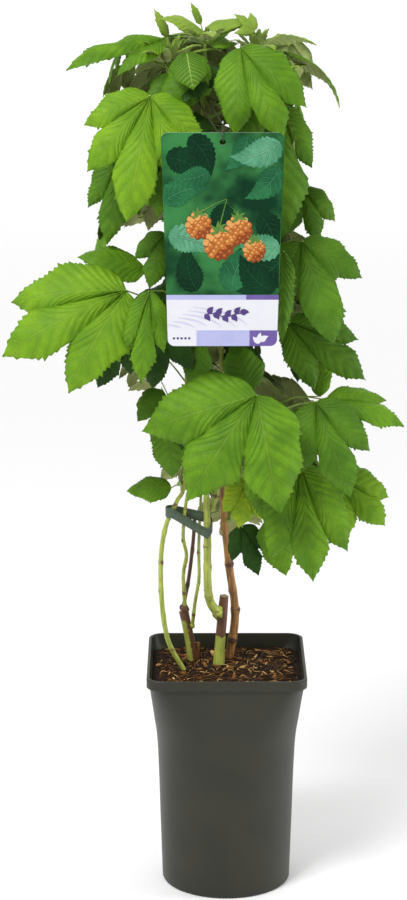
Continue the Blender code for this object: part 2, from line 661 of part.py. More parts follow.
def blade_of(leaf, extra=0.0):
    """The leaf's blade as one thin closed solid, thickest at its midribs, notched between its leaflets.

    Each leaflet's midrib has an upper and a lower point at each station. Both sides share its edge points.
    """
    bm = bmesh.new()
    leaflets = leaflets_of(leaf)
    middle = leaflets[len(leaflets) // 2]
    lift = (middle.thickness() / 2 + extra) * middle.up
    hub = (bm.verts.new(middle.base + lift), bm.verts.new(middle.base - lift))
    pairs = zip(leaflets, leaflets[1:])
    notches = [a.point(leaf.notch, -1).lerp(b.point(leaf.notch, 1), 0.5) for a, b in pairs]
    bases = [leaflets[0].point(BASE_STATION, 1), *notches, leaflets[-1].point(BASE_STATION, -1)]
    bases = [bm.verts.new(point) for point in bases]
    for index, leaflet in enumerate(leaflets):
        tip = bm.verts.new(leaflet.tip)
        lift = (leaflet.thickness() / 2 + extra) * leaflet.up
        line = [leaflet.point(t, 0) for t in STATIONS]
        rib = [(bm.verts.new(point + lift), bm.verts.new(point - lift)) for point in line]
        for side, base in ((1, bases[index]), (-1, bases[index + 1])):
            edge = [base] + [bm.verts.new(leaflet.point(t, side)) for t in STATIONS[1:]]
            for layer in (0, 1):
                spine = [hub[layer]] + [pair[layer] for pair in rib]
                bm.faces.new((spine[0], spine[1], edge[0]))
                for step in (1, 2):
                    bm.faces.new((spine[step], spine[step + 1], edge[step], edge[step - 1]))
                bm.faces.new((spine[3], tip, edge[2]))
    for base in (bases[0], bases[-1]):
        bm.faces.new((hub[0], hub[1], base))
    bmesh.ops.triangulate(bm, faces=bm.faces)
    return bm


def stalk(start, end, radius, extra=0.0, arch=STALK_ARCH):
    """A thin three-sided stalk that bows upwards, run a little way past its end to hold the leaflets."""
    length = (end - start).length
    bow = start.lerp(end, 0.5) + Vector((0, 0, arch * length))
    past = end + STALK_HOLD * (end - bow).normalized()
    path = curve_through((start, bow, past), 2)
    return loft(rings_along(path, tapered(radius + extra, 0.8 * radius + extra, len(path)), 3))


class Space:
    """What stands already, one search tree for each piece, so that a new piece is tried for room."""

    def __init__(self):
        self.trees = []

    def add(self, owner, bm):
        self.trees.append((owner, BVHTree.FromBMesh(bm)))

    def has_room(self, owner, bm):
        tried = BVHTree.FromBMesh(bm)
        return not any(tried.overlap(tree) for name, tree in self.trees if name != owner)


def between(table, height):
    """The row of a table at a height, worked out from the rows below and above it, or None outside them."""
    for low, high in zip(table, table[1:]):
        if low[0] <= height <= high[0]:
            share = (height - low[0]) / (high[0] - low[0])
            return [a + share * (b - a) for a, b in zip(low, high)]
    return None


def point_in_crown(point, clearance):
    """Whether a point is inside the crown, seen from above and from the front, and out of the windows."""
    round_crown = between(CROWN, point.z)
    seen = point.z + VIEW_RISE * point.y
    edges = between(FRONT_EDGES, seen)
    if not round_crown or not edges or not edges[1] < point.x < edges[2]:
        return False
    if math.hypot(point.x - CROWN_MIDDLE.x, point.y - CROWN_MIDDLE.y) > round_crown[1]:
        return False
    return all(math.hypot(point.x - x, seen - z) > radius + clearance for x, z, radius in WINDOWS)


def in_crown(leaf):
    """Whether a leaf drawn by rule keeps to the crown's outline and out of its gaps."""
    for leaflet in leaflets_of(leaf):
        clearance = 0.8 * leaflet.half_width
        if not all(point_in_crown(leaflet.point(t, 0), clearance) for t in (0.35, 0.7, 1.0)):
            return False
        if not all(point_in_crown(leaflet.point(0.5, side), 0.0) for side in (-1, 1)):
            return False
    return True


class Growth:
    """Grows one mass after another, each leaf only where it has room."""

    def __init__(self, canes, obstacles):
        self.canes = canes
        self.space = Space()
        for owner, bm in obstacles:
            self.space.add(owner, bm)
            bm.free()
        self.stems = {}
        self.pieces = {}
        self.counts = {}

    def start(self, mass):
        """Lays the mass's stem: from its limb's side, 0.3 mm clear, or on from the limb's tip."""
        cane = self.canes[mass.limb]
        if mass.leaves:
            target = sum((Vector(leaf.hub) for leaf in mass.leaves), Vector()) / len(mass.leaves)
        else:
            foot, _, _ = cane.at(mass.height)
            target = foot + 0.055 * unit(mass.bearing) + Vector((0, 0, 0.035))
        if mass.height:
            foot, radius, along = cane.at(mass.height)
            away = perpendicular(target - foot, Vector((0, 0, 1)))
            away = perpendicular(away, along)
            start = foot + (radius + GAP) * away
            end = foot.lerp(target, STEM_REACH)
            path = [start, start + 0.004 * away, end]
        else:
            foot, along = cane.end()
            start = foot + GAP * along
            path = [start, start + 0.006 * along, foot.lerp(target, 0.6)]
        path = [path[0]] + curve_through(path[1:], 2)
        self.stems[mass.name] = path
        bm = loft(rings_along(path, tapered(STEM_RADIUS, 0.8 * STEM_RADIUS, len(path)), 5))
        self.space.add(mass.name, bm)
        self.pieces[mass.name] = [bm]
        self.counts[mass.name] = 0

    def leaf_meshes(self, mass, leaf, extra=0.0):
        path = self.stems[mass.name]
        root = path[-1].lerp(path[-2], 0.15 * (self.counts[mass.name] % 3))
        return [stalk(root, Vector(leaf.hub), STALK_RADIUS, extra), blade_of(leaf, extra)]

    def try_leaf(self, mass, leaf):
        """Adds the leaf if it has room, and says whether it did."""
        guards = self.leaf_meshes(mass, leaf, ROOM)
        fits = all(self.space.has_room(mass.name, guard) for guard in guards)
        for guard in guards:
            guard.free()
        if fits:
            meshes = self.leaf_meshes(mass, leaf)
            for bm in meshes:
                self.space.add(mass.name, bm)
            self.pieces[mass.name] += meshes
            self.counts[mass.name] += 1
        return fits

    def place(self, mass, leaf):
        """Places a given leaf, nudged towards or away from the front, and tilted, until it has room."""
        for step in range(NUDGES):
            shift = Vector((0, NUDGE * ((step + 1) // 2) * (-1 if step % 2 else 1), 0))
            tilt = NUDGE_TILT * (step // 2) * (-1 if step % 4 < 2 else 1)
            hub, tip = Vector(leaf.hub) + shift, Vector(leaf.tip) + shift
            if self.try_leaf(mass, replace(leaf, hub=tuple(hub), tip=tuple(tip), face=leaf.face + tilt)):
                return True
        return False

    def draw(self, mass, chance):
        """Draws leaves by rule: they leave the stem's end a golden angle apart and hang outwards."""
        end = self.stems[mass.name][-1]
        grown = 0
        for step in range(DRAWS * mass.drawn):
            if grown == mass.drawn:
                break
            swing = (GOLDEN_ANGLE * step) % DRAWN_FAN - DRAWN_FAN / 2
            bearing = mass.bearing + swing + chance.uniform(-DRAWN_WANDER, DRAWN_WANDER)
            length = mass.length * chance.uniform(*DRAWN_LENGTH)
            hub = end + chance.uniform(*DRAWN_REACH) * unit(bearing)
            hub.z += chance.uniform(*DRAWN_RISE)
            dip = math.radians(chance.uniform(*DRAWN_DIP))
            tip = hub + length * math.cos(dip) * unit(bearing)
            tip.z -= length * math.sin(dip)
            spread, face = chance.uniform(*DRAWN_SPREAD), chance.uniform(*DRAWN_FACE)
            leaf = Leaf(tuple(hub), tuple(tip), 3, spread, face, facing=bearing)
            if in_crown(leaf) and self.try_leaf(mass, leaf):
                grown += 1
        return grown


def joined(name, meshes, material, solver):
    """An object that is the Boolean union of overlapping solids."""
    stem = object_from(name, meshes[0].copy(), material)
    parts = bpy.data.collections.new(name + "_parts")
    bpy.context.scene.collection.children.link(parts)
    for index, bm in enumerate(meshes[1:]):
        piece = object_from(f"{name}_{index}", bm.copy(), material)
        bpy.context.scene.collection.objects.unlink(piece)
        parts.objects.link(piece)
    union = stem.modifiers.new("union", "BOOLEAN")
    union.operation = "UNION"
    union.operand_type = "COLLECTION"
    union.collection = parts
    union.solver = solver
    graph = bpy.context.evaluated_depsgraph_get()
    mesh = bpy.data.meshes.new_from_object(stem.evaluated_get(graph))
    stem.modifiers.clear()
    stem.data = mesh
    for piece in list(parts.objects):
        bpy.data.objects.remove(piece, do_unlink=True)
    bpy.data.collections.remove(parts)
    return stem


def fused(name, meshes, material):
    """One closed solid for a mass: its union by the exact solver or, if that leaves it open, the other."""
    for solver in ("EXACT", "MANIFOLD"):
        mass = joined(name, meshes, material, solver)
        if keep_largest(mass.data):
            return mass
        bpy.data.objects.remove(mass, do_unlink=True)
    raise ValueError(f"{name} isn't closed")


def keep_largest(mesh):
    """Drops loose scraps and fills sealed hollows: only the shell of greatest volume stays.

    Returns whether that shell is closed.
    """
    bm = bmesh.new()
    bm.from_mesh(mesh)
    bmesh.ops.triangulate(bm, faces=bm.faces)
    left = set(bm.faces)
    shells = []
    while left:
        shell = {left.pop()}
        frontier = list(shell)
        while frontier:
            around = {face for edge in frontier.pop().edges for face in edge.link_faces} & left
            left -= around
            shell |= around
            frontier += around
        volume = sum(f.verts[0].co.dot(f.verts[1].co.cross(f.verts[2].co)) for f in shell) / 6
        shells.append((volume, shell))
    largest = max(volume for volume, _ in shells)
    scraps = [face for volume, shell in shells if volume < largest for face in shell]
    bmesh.ops.delete(bm, geom=scraps, context="FACES")
    closed = all(edge.is_manifold for edge in bm.edges)
    bm.to_mesh(mesh)
    bm.free()
    return closed


def main():
    clear_scene()
    materials = make_materials()
    smooth(make_pot(materials["pot_plastic"]))
    make_soil(materials["compost"])
    canes = {limb.name: Cane(limb) for limb in LIMBS}
    obstacles = []
    for limb in LIMBS:
        obstacles.append((limb.name, canes[limb.name].mesh()))
        smooth(object_from(limb.name, canes[limb.name].mesh(), materials[limb.material]))
    fittings = (make_tie(canes, materials["strap_green"]), make_tag(materials["tag_card"]),
                make_loop(canes, materials["loop_plastic"]))
    for fitting in fittings:
        bm = bmesh.new()
        bm.from_mesh(fitting.data)
        obstacles.append((fitting.name, bm))
    growth = Growth(canes, obstacles)
    for mass in MASSES:
        growth.start(mass)
    for mass in MASSES:
        for number, leaf in enumerate(mass.leaves):
            if not growth.place(mass, leaf):
                print("no room for leaf", number + 1, "of", mass.name)
    for index, mass in enumerate(MASSES):
        grown = growth.draw(mass, random.Random(SEED + index))
        if grown < mass.drawn:
            print(mass.name, "grew", grown, "of", mass.drawn)
    for mass in MASSES:
        fused(mass.name, growth.pieces[mass.name], materials["leaf_green"])


main()
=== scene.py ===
"""The looks of a raspberry in a nursery pot: pot, compost, canes, side shoots, leaves, tie and hang tag.

Metres, +Z up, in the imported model's own frame: -Y is the front and +X the right.
"""

import logging
import math
import random
from dataclasses import dataclass, field, replace
from enum import Enum
from typing import Iterable, Optional, Sequence

import bmesh
import bpy
from mathutils import Matrix, Quaternion, Vector, noise
from mathutils.bvhtree import BVHTree


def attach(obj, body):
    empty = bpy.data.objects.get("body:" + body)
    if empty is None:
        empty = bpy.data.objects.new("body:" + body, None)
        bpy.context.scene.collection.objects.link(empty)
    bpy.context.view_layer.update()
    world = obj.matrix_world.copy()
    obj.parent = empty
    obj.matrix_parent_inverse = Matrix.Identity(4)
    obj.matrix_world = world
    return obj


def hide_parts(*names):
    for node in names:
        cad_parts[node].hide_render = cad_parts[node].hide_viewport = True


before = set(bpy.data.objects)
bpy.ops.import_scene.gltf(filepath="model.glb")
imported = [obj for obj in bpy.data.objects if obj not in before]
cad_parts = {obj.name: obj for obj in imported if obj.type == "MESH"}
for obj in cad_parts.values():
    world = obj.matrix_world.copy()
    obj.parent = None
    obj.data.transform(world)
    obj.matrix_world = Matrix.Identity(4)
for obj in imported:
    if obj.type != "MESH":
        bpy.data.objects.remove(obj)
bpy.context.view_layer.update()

LOG = logging.getLogger("raspberry")

GAP = 0.0003
SEED = 11
UP = Vector((0.0, 0.0, 1.0))
FRONT = -90.0
GOLDEN_ANGLE = 137.5

Color = tuple[float, float, float]
Ring = list[Vector]
Mesh = bmesh.types.BMesh
Socket = bpy.types.NodeSocket


class Zone(Enum):
    """The part of the crown that one leaf piece and one twig piece cover."""

    CREST = "crest"
    UPPER = "upper"
    MIDDLE = "middle"
    LOWER = "lower"
    BACK_LOWER = "back_lower"
    BACK_UPPER = "back_upper"


ZONES_FROM = ((Zone.CREST, 0.74), (Zone.UPPER, 0.62), (Zone.MIDDLE, 0.51), (Zone.LOWER, 0.0))
BACK_UPPER_FROM = 0.545


class Tint(Enum):
    """The colours dealt out to the leaves, in the order of their material slots; the first four are one green
    from lit to shaded, painted light and shade, the last three the leaves' own colours.
    """

    SUNLIT = 0
    BRIGHT = 1
    MIDDLE = 2
    DEEP = 3
    YOUNG = 4
    YELLOWING = 5
    PLEATED = 6


class Bark(Enum):
    """The bark of a limb."""

    GREEN = 0
    BROWN = 1
    DARK = 2


@dataclass(frozen=True)
class Limb:
    """A cane, shoot or cut stub: points that it passes, and its radius at the foot and at the tip.

    `collar` is the size of its swollen foot and `collar_mark` how dark that is, `dark_from` the share of its
    length from which its bark is dark, and `dark_side` the bearing of the side that is dark.
    """

    name: str
    path: tuple
    foot: float
    tip: float
    bark: Bark = Bark.GREEN
    cut: bool = False
    collar: float = 0.0
    collar_mark: float = 0.38
    dark_from: float = 2.0
    dark_side: Optional[float] = None


@dataclass(frozen=True)
class Leaf:
    """A compound leaf: where its stalk ends, where its end leaflet's tip is, and how its blade is turned.

    `face` is how far the upper side leans from straight up (0) to the horizontal direction `facing` (90).
    `side` is the length of the side leaflets and `notch` how far out the cuts between leaflets begin, as
    shares of the end leaflet's length. `pleat` is how deep the folds between the veins are.
    """

    hub: tuple
    tip: tuple
    leaflets: int = 3
    spread: float = 46.0
    face: float = 75.0
    width: float = 0.56
    side: float = 0.84
    notch: float = 0.5
    arch: float = 0.1
    facing: float = FRONT
    tint: Optional[Tint] = None
    pleat: float = 1.0

    @property
    def length(self) -> float:
        """The end leaflet's length."""
        return (Vector(self.tip) - Vector(self.hub)).length


@dataclass(frozen=True)
class Mass:
    """A mass of foliage: a side shoot on a limb, the leaves placed on it and how many are drawn by rule."""

    name: str
    limb: str
    height: float
    leaves: tuple = ()
    drawn: int = 0
    bearing: float = 90.0
    length: float = 0.095

    @property
    def zone(self) -> Zone:
        """The part of the crown that it covers: a back one without placed leaves, else by its height."""
        if not self.leaves:
            return Zone.BACK_UPPER if self.height > BACK_UPPER_FROM else Zone.BACK_LOWER
        if not self.height:
            return Zone.CREST
        return next(zone for zone, height in ZONES_FROM if self.height > height)


CANE_FOOT = 0.2093
LIMBS = (
    Limb("brown_cane", (
        (0.003, 0.034, CANE_FOOT), (0.0085, 0.034, 0.256), (0.002, 0.03, 0.309), (-0.003, 0.028, 0.375),
        (0.001, 0.022, 0.488), (0.01, 0.012, 0.613), (0.02, 0.002, 0.734), (0.026, 0.0, 0.775),
    ), 0.0042, 0.0018, Bark.BROWN),
    Limb("cut_stub", (
        (-0.007, 0.018, CANE_FOOT), (-0.0055, 0.019, 0.236), (-0.002, 0.021, 0.277),
    ), 0.0056, 0.0042, cut=True, dark_from=0.52),
    Limb("green_cane", (
        (-0.0082, 0.013, 0.262), (-0.0155, 0.01, 0.274), (-0.018, 0.006, 0.297), (-0.018, 0.005, 0.345),
        (-0.019, 0.004, 0.38), (-0.021, 0.0, 0.521), (-0.024, 0.0, 0.661), (-0.021, 0.0, 0.79),
    ), 0.0044, 0.0019, collar=0.0054),
    Limb("green_fork", (
        (-0.014, 0.0079, 0.366), (-0.0095, 0.0105, 0.382), (-0.007, 0.01, 0.402),
        (-0.006, 0.006, 0.47), (-0.005, -0.004, 0.53),
    ), 0.0026, 0.0016, collar=0.0034),
    Limb("left_cane", (
        (-0.041, 0.0, CANE_FOOT), (-0.055, -0.003, 0.238), (-0.061, -0.005, 0.275),
        (-0.062, -0.005, 0.32), (-0.057, -0.003, 0.353), (-0.047, 0.0, 0.375), (-0.039, 0.006, 0.4),
        (-0.038, 0.01, 0.519), (-0.045, 0.008, 0.66), (-0.053, 0.002, 0.765),
    ), 0.0025, 0.0015),
    Limb("left_stub", (
        (-0.032, 0.03, CANE_FOOT), (-0.036, 0.03, 0.235), (-0.041, 0.03, 0.2595),
    ), 0.0048, 0.0046, cut=True, dark_from=0.8, dark_side=-10),
    Limb("knotted_shoot", (
        (-0.0395, 0.0285, 0.2607), (-0.041, 0.02, 0.297), (-0.038, 0.01, 0.32),
        (-0.041, 0.0008, 0.341), (-0.0385, 0.0005, 0.372), (-0.033, 0.012, 0.405), (-0.031, 0.02, 0.48),
    ), 0.0019, 0.0013, collar=0.004, collar_mark=0.85),
    Limb("dark_shoot", (
        (-0.0415, 0.0325, 0.2603), (-0.0355, 0.034, 0.293), (-0.032, 0.034, 0.323), (-0.03, 0.033, 0.352),
    ), 0.0019, 0.0017, Bark.DARK, collar=0.0032),
    Limb("side_shoot", (
        (-0.0325, 0.0255, 0.245), (-0.03, 0.018, 0.27), (-0.0262, 0.013, 0.295), (-0.0262, 0.014, 0.315),
        (-0.026, 0.017, 0.338), (-0.024, 0.024, 0.38), (-0.022, 0.03, 0.46),
    ), 0.0017, 0.0013, collar=0.0026),
)


def leaf_at(hub: tuple, tip: tuple, *turns: float, **shape: object) -> Leaf:
    """A listed leaf, with its hub and its tip given in mm."""
    ends = (tuple(value / 1000 for value in place) for place in (hub, tip))
    return Leaf(*ends, *turns, **shape)


# A leaf's given tint picks its colour: the sunlit, bright, middle and darkest ones are painted light and
# shade.
MASSES = (
    Mass("top_shoot", "green_cane", 0.0, (
        leaf_at((-22, 0, 813), (-61, -10, 828), 1, face=35, width=0.42, tint=Tint.YOUNG),
        leaf_at((-20, 0, 816), (27, 8, 822), 1, face=30, width=0.36, tint=Tint.YOUNG),
        leaf_at((-24, 0, 820), (-33, -2, 840), 1, face=70, width=0.3, tint=Tint.YOUNG),
        leaf_at((-16, 8, 801), (-1, 34, 814), 3, face=20),
    ), 1, 75, 0.045),
    Mass("top_front", "green_cane", 0.772, (
        leaf_at((-37, -40, 800), (-31, -55, 768), 1, width=0.95, arch=0.06, tint=Tint.PLEATED, pleat=2.0),
        leaf_at((-19, -24, 789), (-60, -36, 746), 1, face=70, width=0.66, tint=Tint.BRIGHT),
    )),
    Mass("top_left", "left_cane", 0.0, (
        leaf_at((-56, -8, 807), (-144, -40, 787), 3, 17, face=35, width=0.38, side=0.62, tint=Tint.BRIGHT),
        leaf_at((-54, 4, 808), (-66, 0, 834), 1, face=60, width=0.3, tint=Tint.YOUNG),
        leaf_at((-57, 8, 786), (-87, -2, 778), 3, 36, face=-40, side=0.7),
        leaf_at((-53, -16, 778), (-70, -28, 750), 1, face=70),
    ), 2, 110, 0.06),
    Mass("top_right", "brown_cane", 0.0, (
        leaf_at((32, -4, 806), (80, -10, 805), 1, face=-25, width=0.4, tint=Tint.YOUNG),
        leaf_at((24, 2, 815), (6, 4, 830), 3, face=40, width=0.45, tint=Tint.YOUNG),
        leaf_at((28, 6, 800), (48, 26, 792), 3, face=20),
    ), 1, 60, 0.06),
    Mass("right_crest", "brown_cane", 0.745, (
        leaf_at((50, 10, 795), (104, 0, 748), 1, face=-20, width=0.3, arch=0.14),
    ), 2, 40, 0.07),
    Mass("upper_right", "brown_cane", 0.722, (
        leaf_at((11, -45, 804), (49, -80, 727), 3, 28, face=70, width=0.5, side=0.86, notch=0.58,
                tint=Tint.BRIGHT),
    )),
    Mass("right_hanging", "brown_cane", 0.69, (
        leaf_at((46, -38, 752), (48, -55, 632), 3, 30, width=0.46, side=0.52, notch=0.4, tint=Tint.MIDDLE),
    )),
    Mass("inner_right", "green_cane", 0.735, (
        leaf_at((31, -24, 763), (7, -44, 716), 1, face=70, width=0.62, tint=Tint.MIDDLE),
    )),
    Mass("right_curled", "brown_cane", 0.64, (
        leaf_at((68, 0, 672), (83, -12, 624), 3, 34, face=60, width=0.5, arch=0.2, tint=Tint.MIDDLE),
    )),
    Mass("upper_left", "left_cane", 0.705, (
        leaf_at((-69, -48, 761), (-90, -85, 654), 5, 34, face=72, width=0.5, side=0.76, tint=Tint.SUNLIT),
    )),
    Mass("left_hanging", "left_cane", 0.655, (
        leaf_at((-95, -18, 708), (-109, -36, 626), 3, 26, face=70, width=0.42, side=0.7, tint=Tint.MIDDLE),
        leaf_at((-60, -16, 676), (-106, -34, 642), 3, 36, face=-70, width=0.6, side=0.7),
    )),
    Mass("left_side", "left_cane", 0.575, (
        leaf_at((-75, -30, 601), (-135, -40, 617), 1, face=40, width=0.6, tint=Tint.BRIGHT),
        leaf_at((-56, -36, 636), (-71, -50, 588), 3, 40, side=0.7, tint=Tint.MIDDLE),
    )),
    Mass("left_middle", "left_cane", 0.54, (
        leaf_at((-91, -60, 588), (-203, -80, 533), 3, 30, face=62, width=0.54, arch=0.12, tint=Tint.SUNLIT),
        leaf_at((-92, -36, 548), (-119, -45, 495), 3, 32, face=70, side=0.7, tint=Tint.DEEP),
    )),
    Mass("front_left", "green_cane", 0.56, (
        leaf_at((-70, -74, 591), (-78, -90, 509), 3, 20, width=0.36, side=0.68, tint=Tint.BRIGHT),
        leaf_at((-60, -30, 552), (-69, -40, 493), 3, tint=Tint.DEEP),
    )),
    Mass("front_upper", "green_cane", 0.68, (
        leaf_at((-20, -50, 705), (-34, -80, 632), 3, face=70),
    ), 1, -60, 0.08),
    Mass("front_middle", "green_cane", 0.6, (
        leaf_at((-2, -50, 623), (11, -78, 550), 3, face=70),
    ), 1, -120, 0.08),
    Mass("right_middle", "brown_cane", 0.585, (
        leaf_at((66, -50, 631), (96, -80, 543), 3, 48, face=60, width=0.52, side=0.66, tint=Tint.MIDDLE),
        leaf_at((49, -72, 626), (48, -87, 546), 1, width=0.26, tint=Tint.MIDDLE),
    )),
    Mass("right_inner", "brown_cane", 0.515, (
        leaf_at((56, -14, 550), (128, -28, 499), 3, 30, face=65, width=0.46, side=0.76, tint=Tint.MIDDLE),
        leaf_at((69, 10, 540), (66, 4, 489), 1, width=0.5, tint=Tint.DEEP),
    ), 1, 30, 0.08),
    Mass("right_low", "brown_cane", 0.45, (
        leaf_at((91, -42, 483), (162, -50, 461), 3, 29, face=45, width=0.46, side=0.77, tint=Tint.BRIGHT),
        leaf_at((86, 12, 474), (92, 14, 518), 1, face=80, width=0.42),
    )),
    Mass("centre_low", "green_fork", 0.47, (
        leaf_at((26, -88, 498), (-37, -112, 406), face=65, width=0.58, side=0.96, notch=0.42,
                tint=Tint.BRIGHT),
        leaf_at((22, -58, 496), (4, -40, 536), 1, width=0.8, tint=Tint.MIDDLE),
    )),
    Mass("low_right", "brown_cane", 0.42, (
        leaf_at((80, -58, 485), (112, -80, 400), 3, 33, face=72, width=0.52, side=0.72, tint=Tint.MIDDLE),
    )),
    Mass("low_right_hanging", "brown_cane", 0.385, (
        leaf_at((67, -50, 423), (79, -82, 321), 3, 26, width=0.46, tint=Tint.BRIGHT),
        leaf_at((40, -12, 362), (56, -14, 306), 1),
    )),
    Mass("low_right_side", "brown_cane", 0.405, (
        leaf_at((100, -20, 405), (148, -32, 361), 3, 30, face=60, width=0.6, tint=Tint.SUNLIT),
    ), 1, 25, 0.08),
    Mass("low_centre", "green_fork", 0.425, (
        leaf_at((20, -22, 403), (11, -32, 358), 3, 30, face=80, width=0.6, tint=Tint.YELLOWING),
        leaf_at((26, -40, 430), (38, -50, 366), 1, width=0.45),
    )),
    Mass("low_back", "brown_cane", 0.35, (
        leaf_at((14, -2, 352), (30, -12, 306), 3, 36, width=0.5, side=0.7),
        leaf_at((4, 46, 350), (6, 60, 312), 1, facing=90),
    )),
    Mass("low_left", "left_cane", 0.392, (
        leaf_at((-52, 10, 386), (-95, 16, 382), 1, face=52, width=0.58, tint=Tint.BRIGHT),
    )),
    Mass("left_low", "left_cane", 0.43, (
        leaf_at((-55, -10, 457), (-51, -16, 402), 1, face=80, width=0.62, tint=Tint.MIDDLE),
        leaf_at((-60, -12, 486), (-83, -22, 458), 1, face=70, width=0.66, tint=Tint.MIDDLE),
        leaf_at((-62, 4, 492), (-92, -4, 484), 1, face=-50),
    )),
    Mass("inner_left", "green_cane", 0.5, (
        leaf_at((-26, -24, 534), (-29, -34, 484), 1, face=80, width=0.5),
    ), 1, 160, 0.07),
    Mass("back_low_left", "side_shoot", 0.41, (), 3, 125, 0.085),
    Mass("back_low_right", "brown_cane", 0.435, (), 3, 60, 0.085),
    Mass("back_left", "knotted_shoot", 0.465, (), 2, 105, 0.08),
    Mass("back_middle", "green_cane", 0.53, (), 3, 95, 0.1),
    Mass("back_right", "brown_cane", 0.56, (), 3, 45, 0.095),
    Mass("back_upper_left", "left_cane", 0.625, (), 3, 130, 0.095),
    Mass("back_upper", "green_cane", 0.65, (), 3, 80, 0.095),
    Mass("back_upper_right", "brown_cane", 0.67, (), 2, 85, 0.065),
    Mass("back_top", "green_cane", 0.72, (), 2, 100, 0.085),
)


# Sizes and rules that place the leaves, as the solids have them.
OUTER_SHARE = 0.74
OUTER_SPREAD = 1.85
BASE_STATION = 0.3
STATIONS = (0.34, 0.66, 0.86)
EDGE_DROP = 0.16
SIDE_SAG = 0.12
THICKNESS_SHARE = 1 / 60
LEAST_THICKNESS = 0.0004
STALK_RADIUS = 0.0011
STEM_RADIUS = 0.0019
STEM_REACH = 0.42
STALK_ARCH = 0.1
STALK_HOLD = 0.0025
ROOM = 0.0006
NUDGE = 0.004
NUDGE_TILT = 4.0
NUDGES = 14
DRAWS = 40
DRAWN_REACH = (0.025, 0.055)
DRAWN_RISE = (-0.012, 0.035)
DRAWN_LENGTH = (0.8, 1.15)
DRAWN_DIP = (35, 75)
DRAWN_SPREAD = (42, 54)
DRAWN_FACE = (35, 70)
DRAWN_FAN = 150
DRAWN_WANDER = 12

# The finer leaves that only this script adds, drawn by the same rule: how many a mass and how long.
FINE_SEED = 500
FINE_LEAVES = 3
FINE_LENGTH = 0.05
SPROUTS = 24
SPROUT_LENGTH = (0.014, 0.04)
SPROUT_REACH = (0.003, 0.009)
SPROUT_CLIMB = (82, 7)
SPROUT_WIDTH = (0.2, 0.34)
SPROUT_PLEAT = 1.4
INNER_CANES = ("left_cane", "green_cane", "brown_cane")
INNER_HEIGHTS = (0.44, 0.8)
INNER_SEED = 900
INNER_LEAVES = 34
INNER_DRAWS = 14
INNER_WANDER = 0.012
INNER_REACH = (0.01, 0.026)
INNER_RISE = (0.0, 0.014)
INNER_DIP = (20, 75)
INNER_LENGTH = (0.026, 0.046)
INNER_SPREAD = (30, 48)
INNER_FACE = (50, 85)

# The crown's outline, which the drawn leaves keep to. CROWN holds heights and radii. FRONT_EDGES and WINDOWS
# are as the photo's camera sees them, VIEW_RISE higher for each metre back: heights with the left and the
# right edge, and the gaps that stay open with their radii.
CROWN = (
    (0.29, 0.07), (0.38, 0.115), (0.5, 0.15), (0.62, 0.145), (0.74, 0.13), (0.8, 0.11), (0.84, 0.07),
)
CROWN_MIDDLE = Vector((-0.018, 0.01, 0.0))
VIEW_RISE = 0.2
FRONT_EDGES = (
    (0.335, -0.005, 0.1), (0.363, -0.05, 0.13), (0.4, -0.068, 0.135), (0.437, -0.07, 0.135),
    (0.465, -0.088, 0.13), (0.488, -0.1, 0.12), (0.52, -0.125, 0.118), (0.566, -0.15, 0.12),
    (0.604, -0.14, 0.12), (0.631, -0.12, 0.095), (0.668, -0.112, 0.094), (0.705, -0.128, 0.08),
    (0.742, -0.13, 0.078), (0.77, -0.12, 0.085), (0.802, -0.13, 0.08), (0.821, -0.066, 0.026),
)
WINDOWS = (
    (0.072, 0.652, 0.013), (0.058, 0.507, 0.011), (-0.078, 0.624, 0.01),
    (-0.047, 0.497, 0.008), (-0.09, 0.594, 0.008),
)


def unit(bearing: float) -> Vector:
    """The horizontal direction at a bearing in degrees, anticlockwise from +X."""
    angle = math.radians(bearing)
    return Vector((math.cos(angle), math.sin(angle), 0.0))


def perpendicular(direction: Vector, axis: Vector) -> Vector:
    """The unit vector nearest to a direction at right angles to an axis."""
    return (direction - direction.dot(axis) * axis).normalized()


def ease(value: float) -> float:
    """A smooth step from 0 to 1 as the value goes from 0 to 1."""
    held = min(max(value, 0.0), 1.0)
    return held * held * (3 - 2 * held)


def mixed(ends: tuple[float, float], share: float) -> float:
    """The value that lies a share of the way from the first end to the second."""
    return ends[0] + (ends[1] - ends[0]) * share


def ripple(point: Vector, scale: float) -> float:
    """Smooth noise from about -1 to 1 at a point, with features about one scale wide."""
    return noise.noise(point / scale)


def tapered(foot: float, tip: float, count: int) -> list[float]:
    """Radii that run evenly from the foot's to the tip's."""
    return [foot + (tip - foot) * index / (count - 1) for index in range(count)]


def curve_through(points: Sequence, steps: int, closed: bool = False) -> list[Vector]:
    """Points on a Catmull-Rom curve.

    Args:
        points: the points that the curve passes.
        steps: how many points to make for each stretch between two of them.
        closed: whether the curve runs back to its start.

    Returns:
        The curve's points, with the last given point at the end of an open curve.
    """
    given = [Vector(point) for point in points]
    count = len(given)
    found = []
    for index in range(count if closed else count - 1):
        if closed:
            a, b, c, d = (given[(index + shift) % count] for shift in (-1, 0, 1, 2))
        else:
            b, c = given[index], given[index + 1]
            a = given[index - 1] if index else 2 * b - c
            d = given[index + 2] if index + 2 < count else 2 * c - b
        for step in range(steps):
            t = step / steps
            found.append(0.5 * (2 * b + (c - a) * t + (2 * a - 5 * b + 4 * c - d) * t * t
                                + (3 * b - a - 3 * c + d) * t * t * t))
    return found if closed else found + [given[-1]]


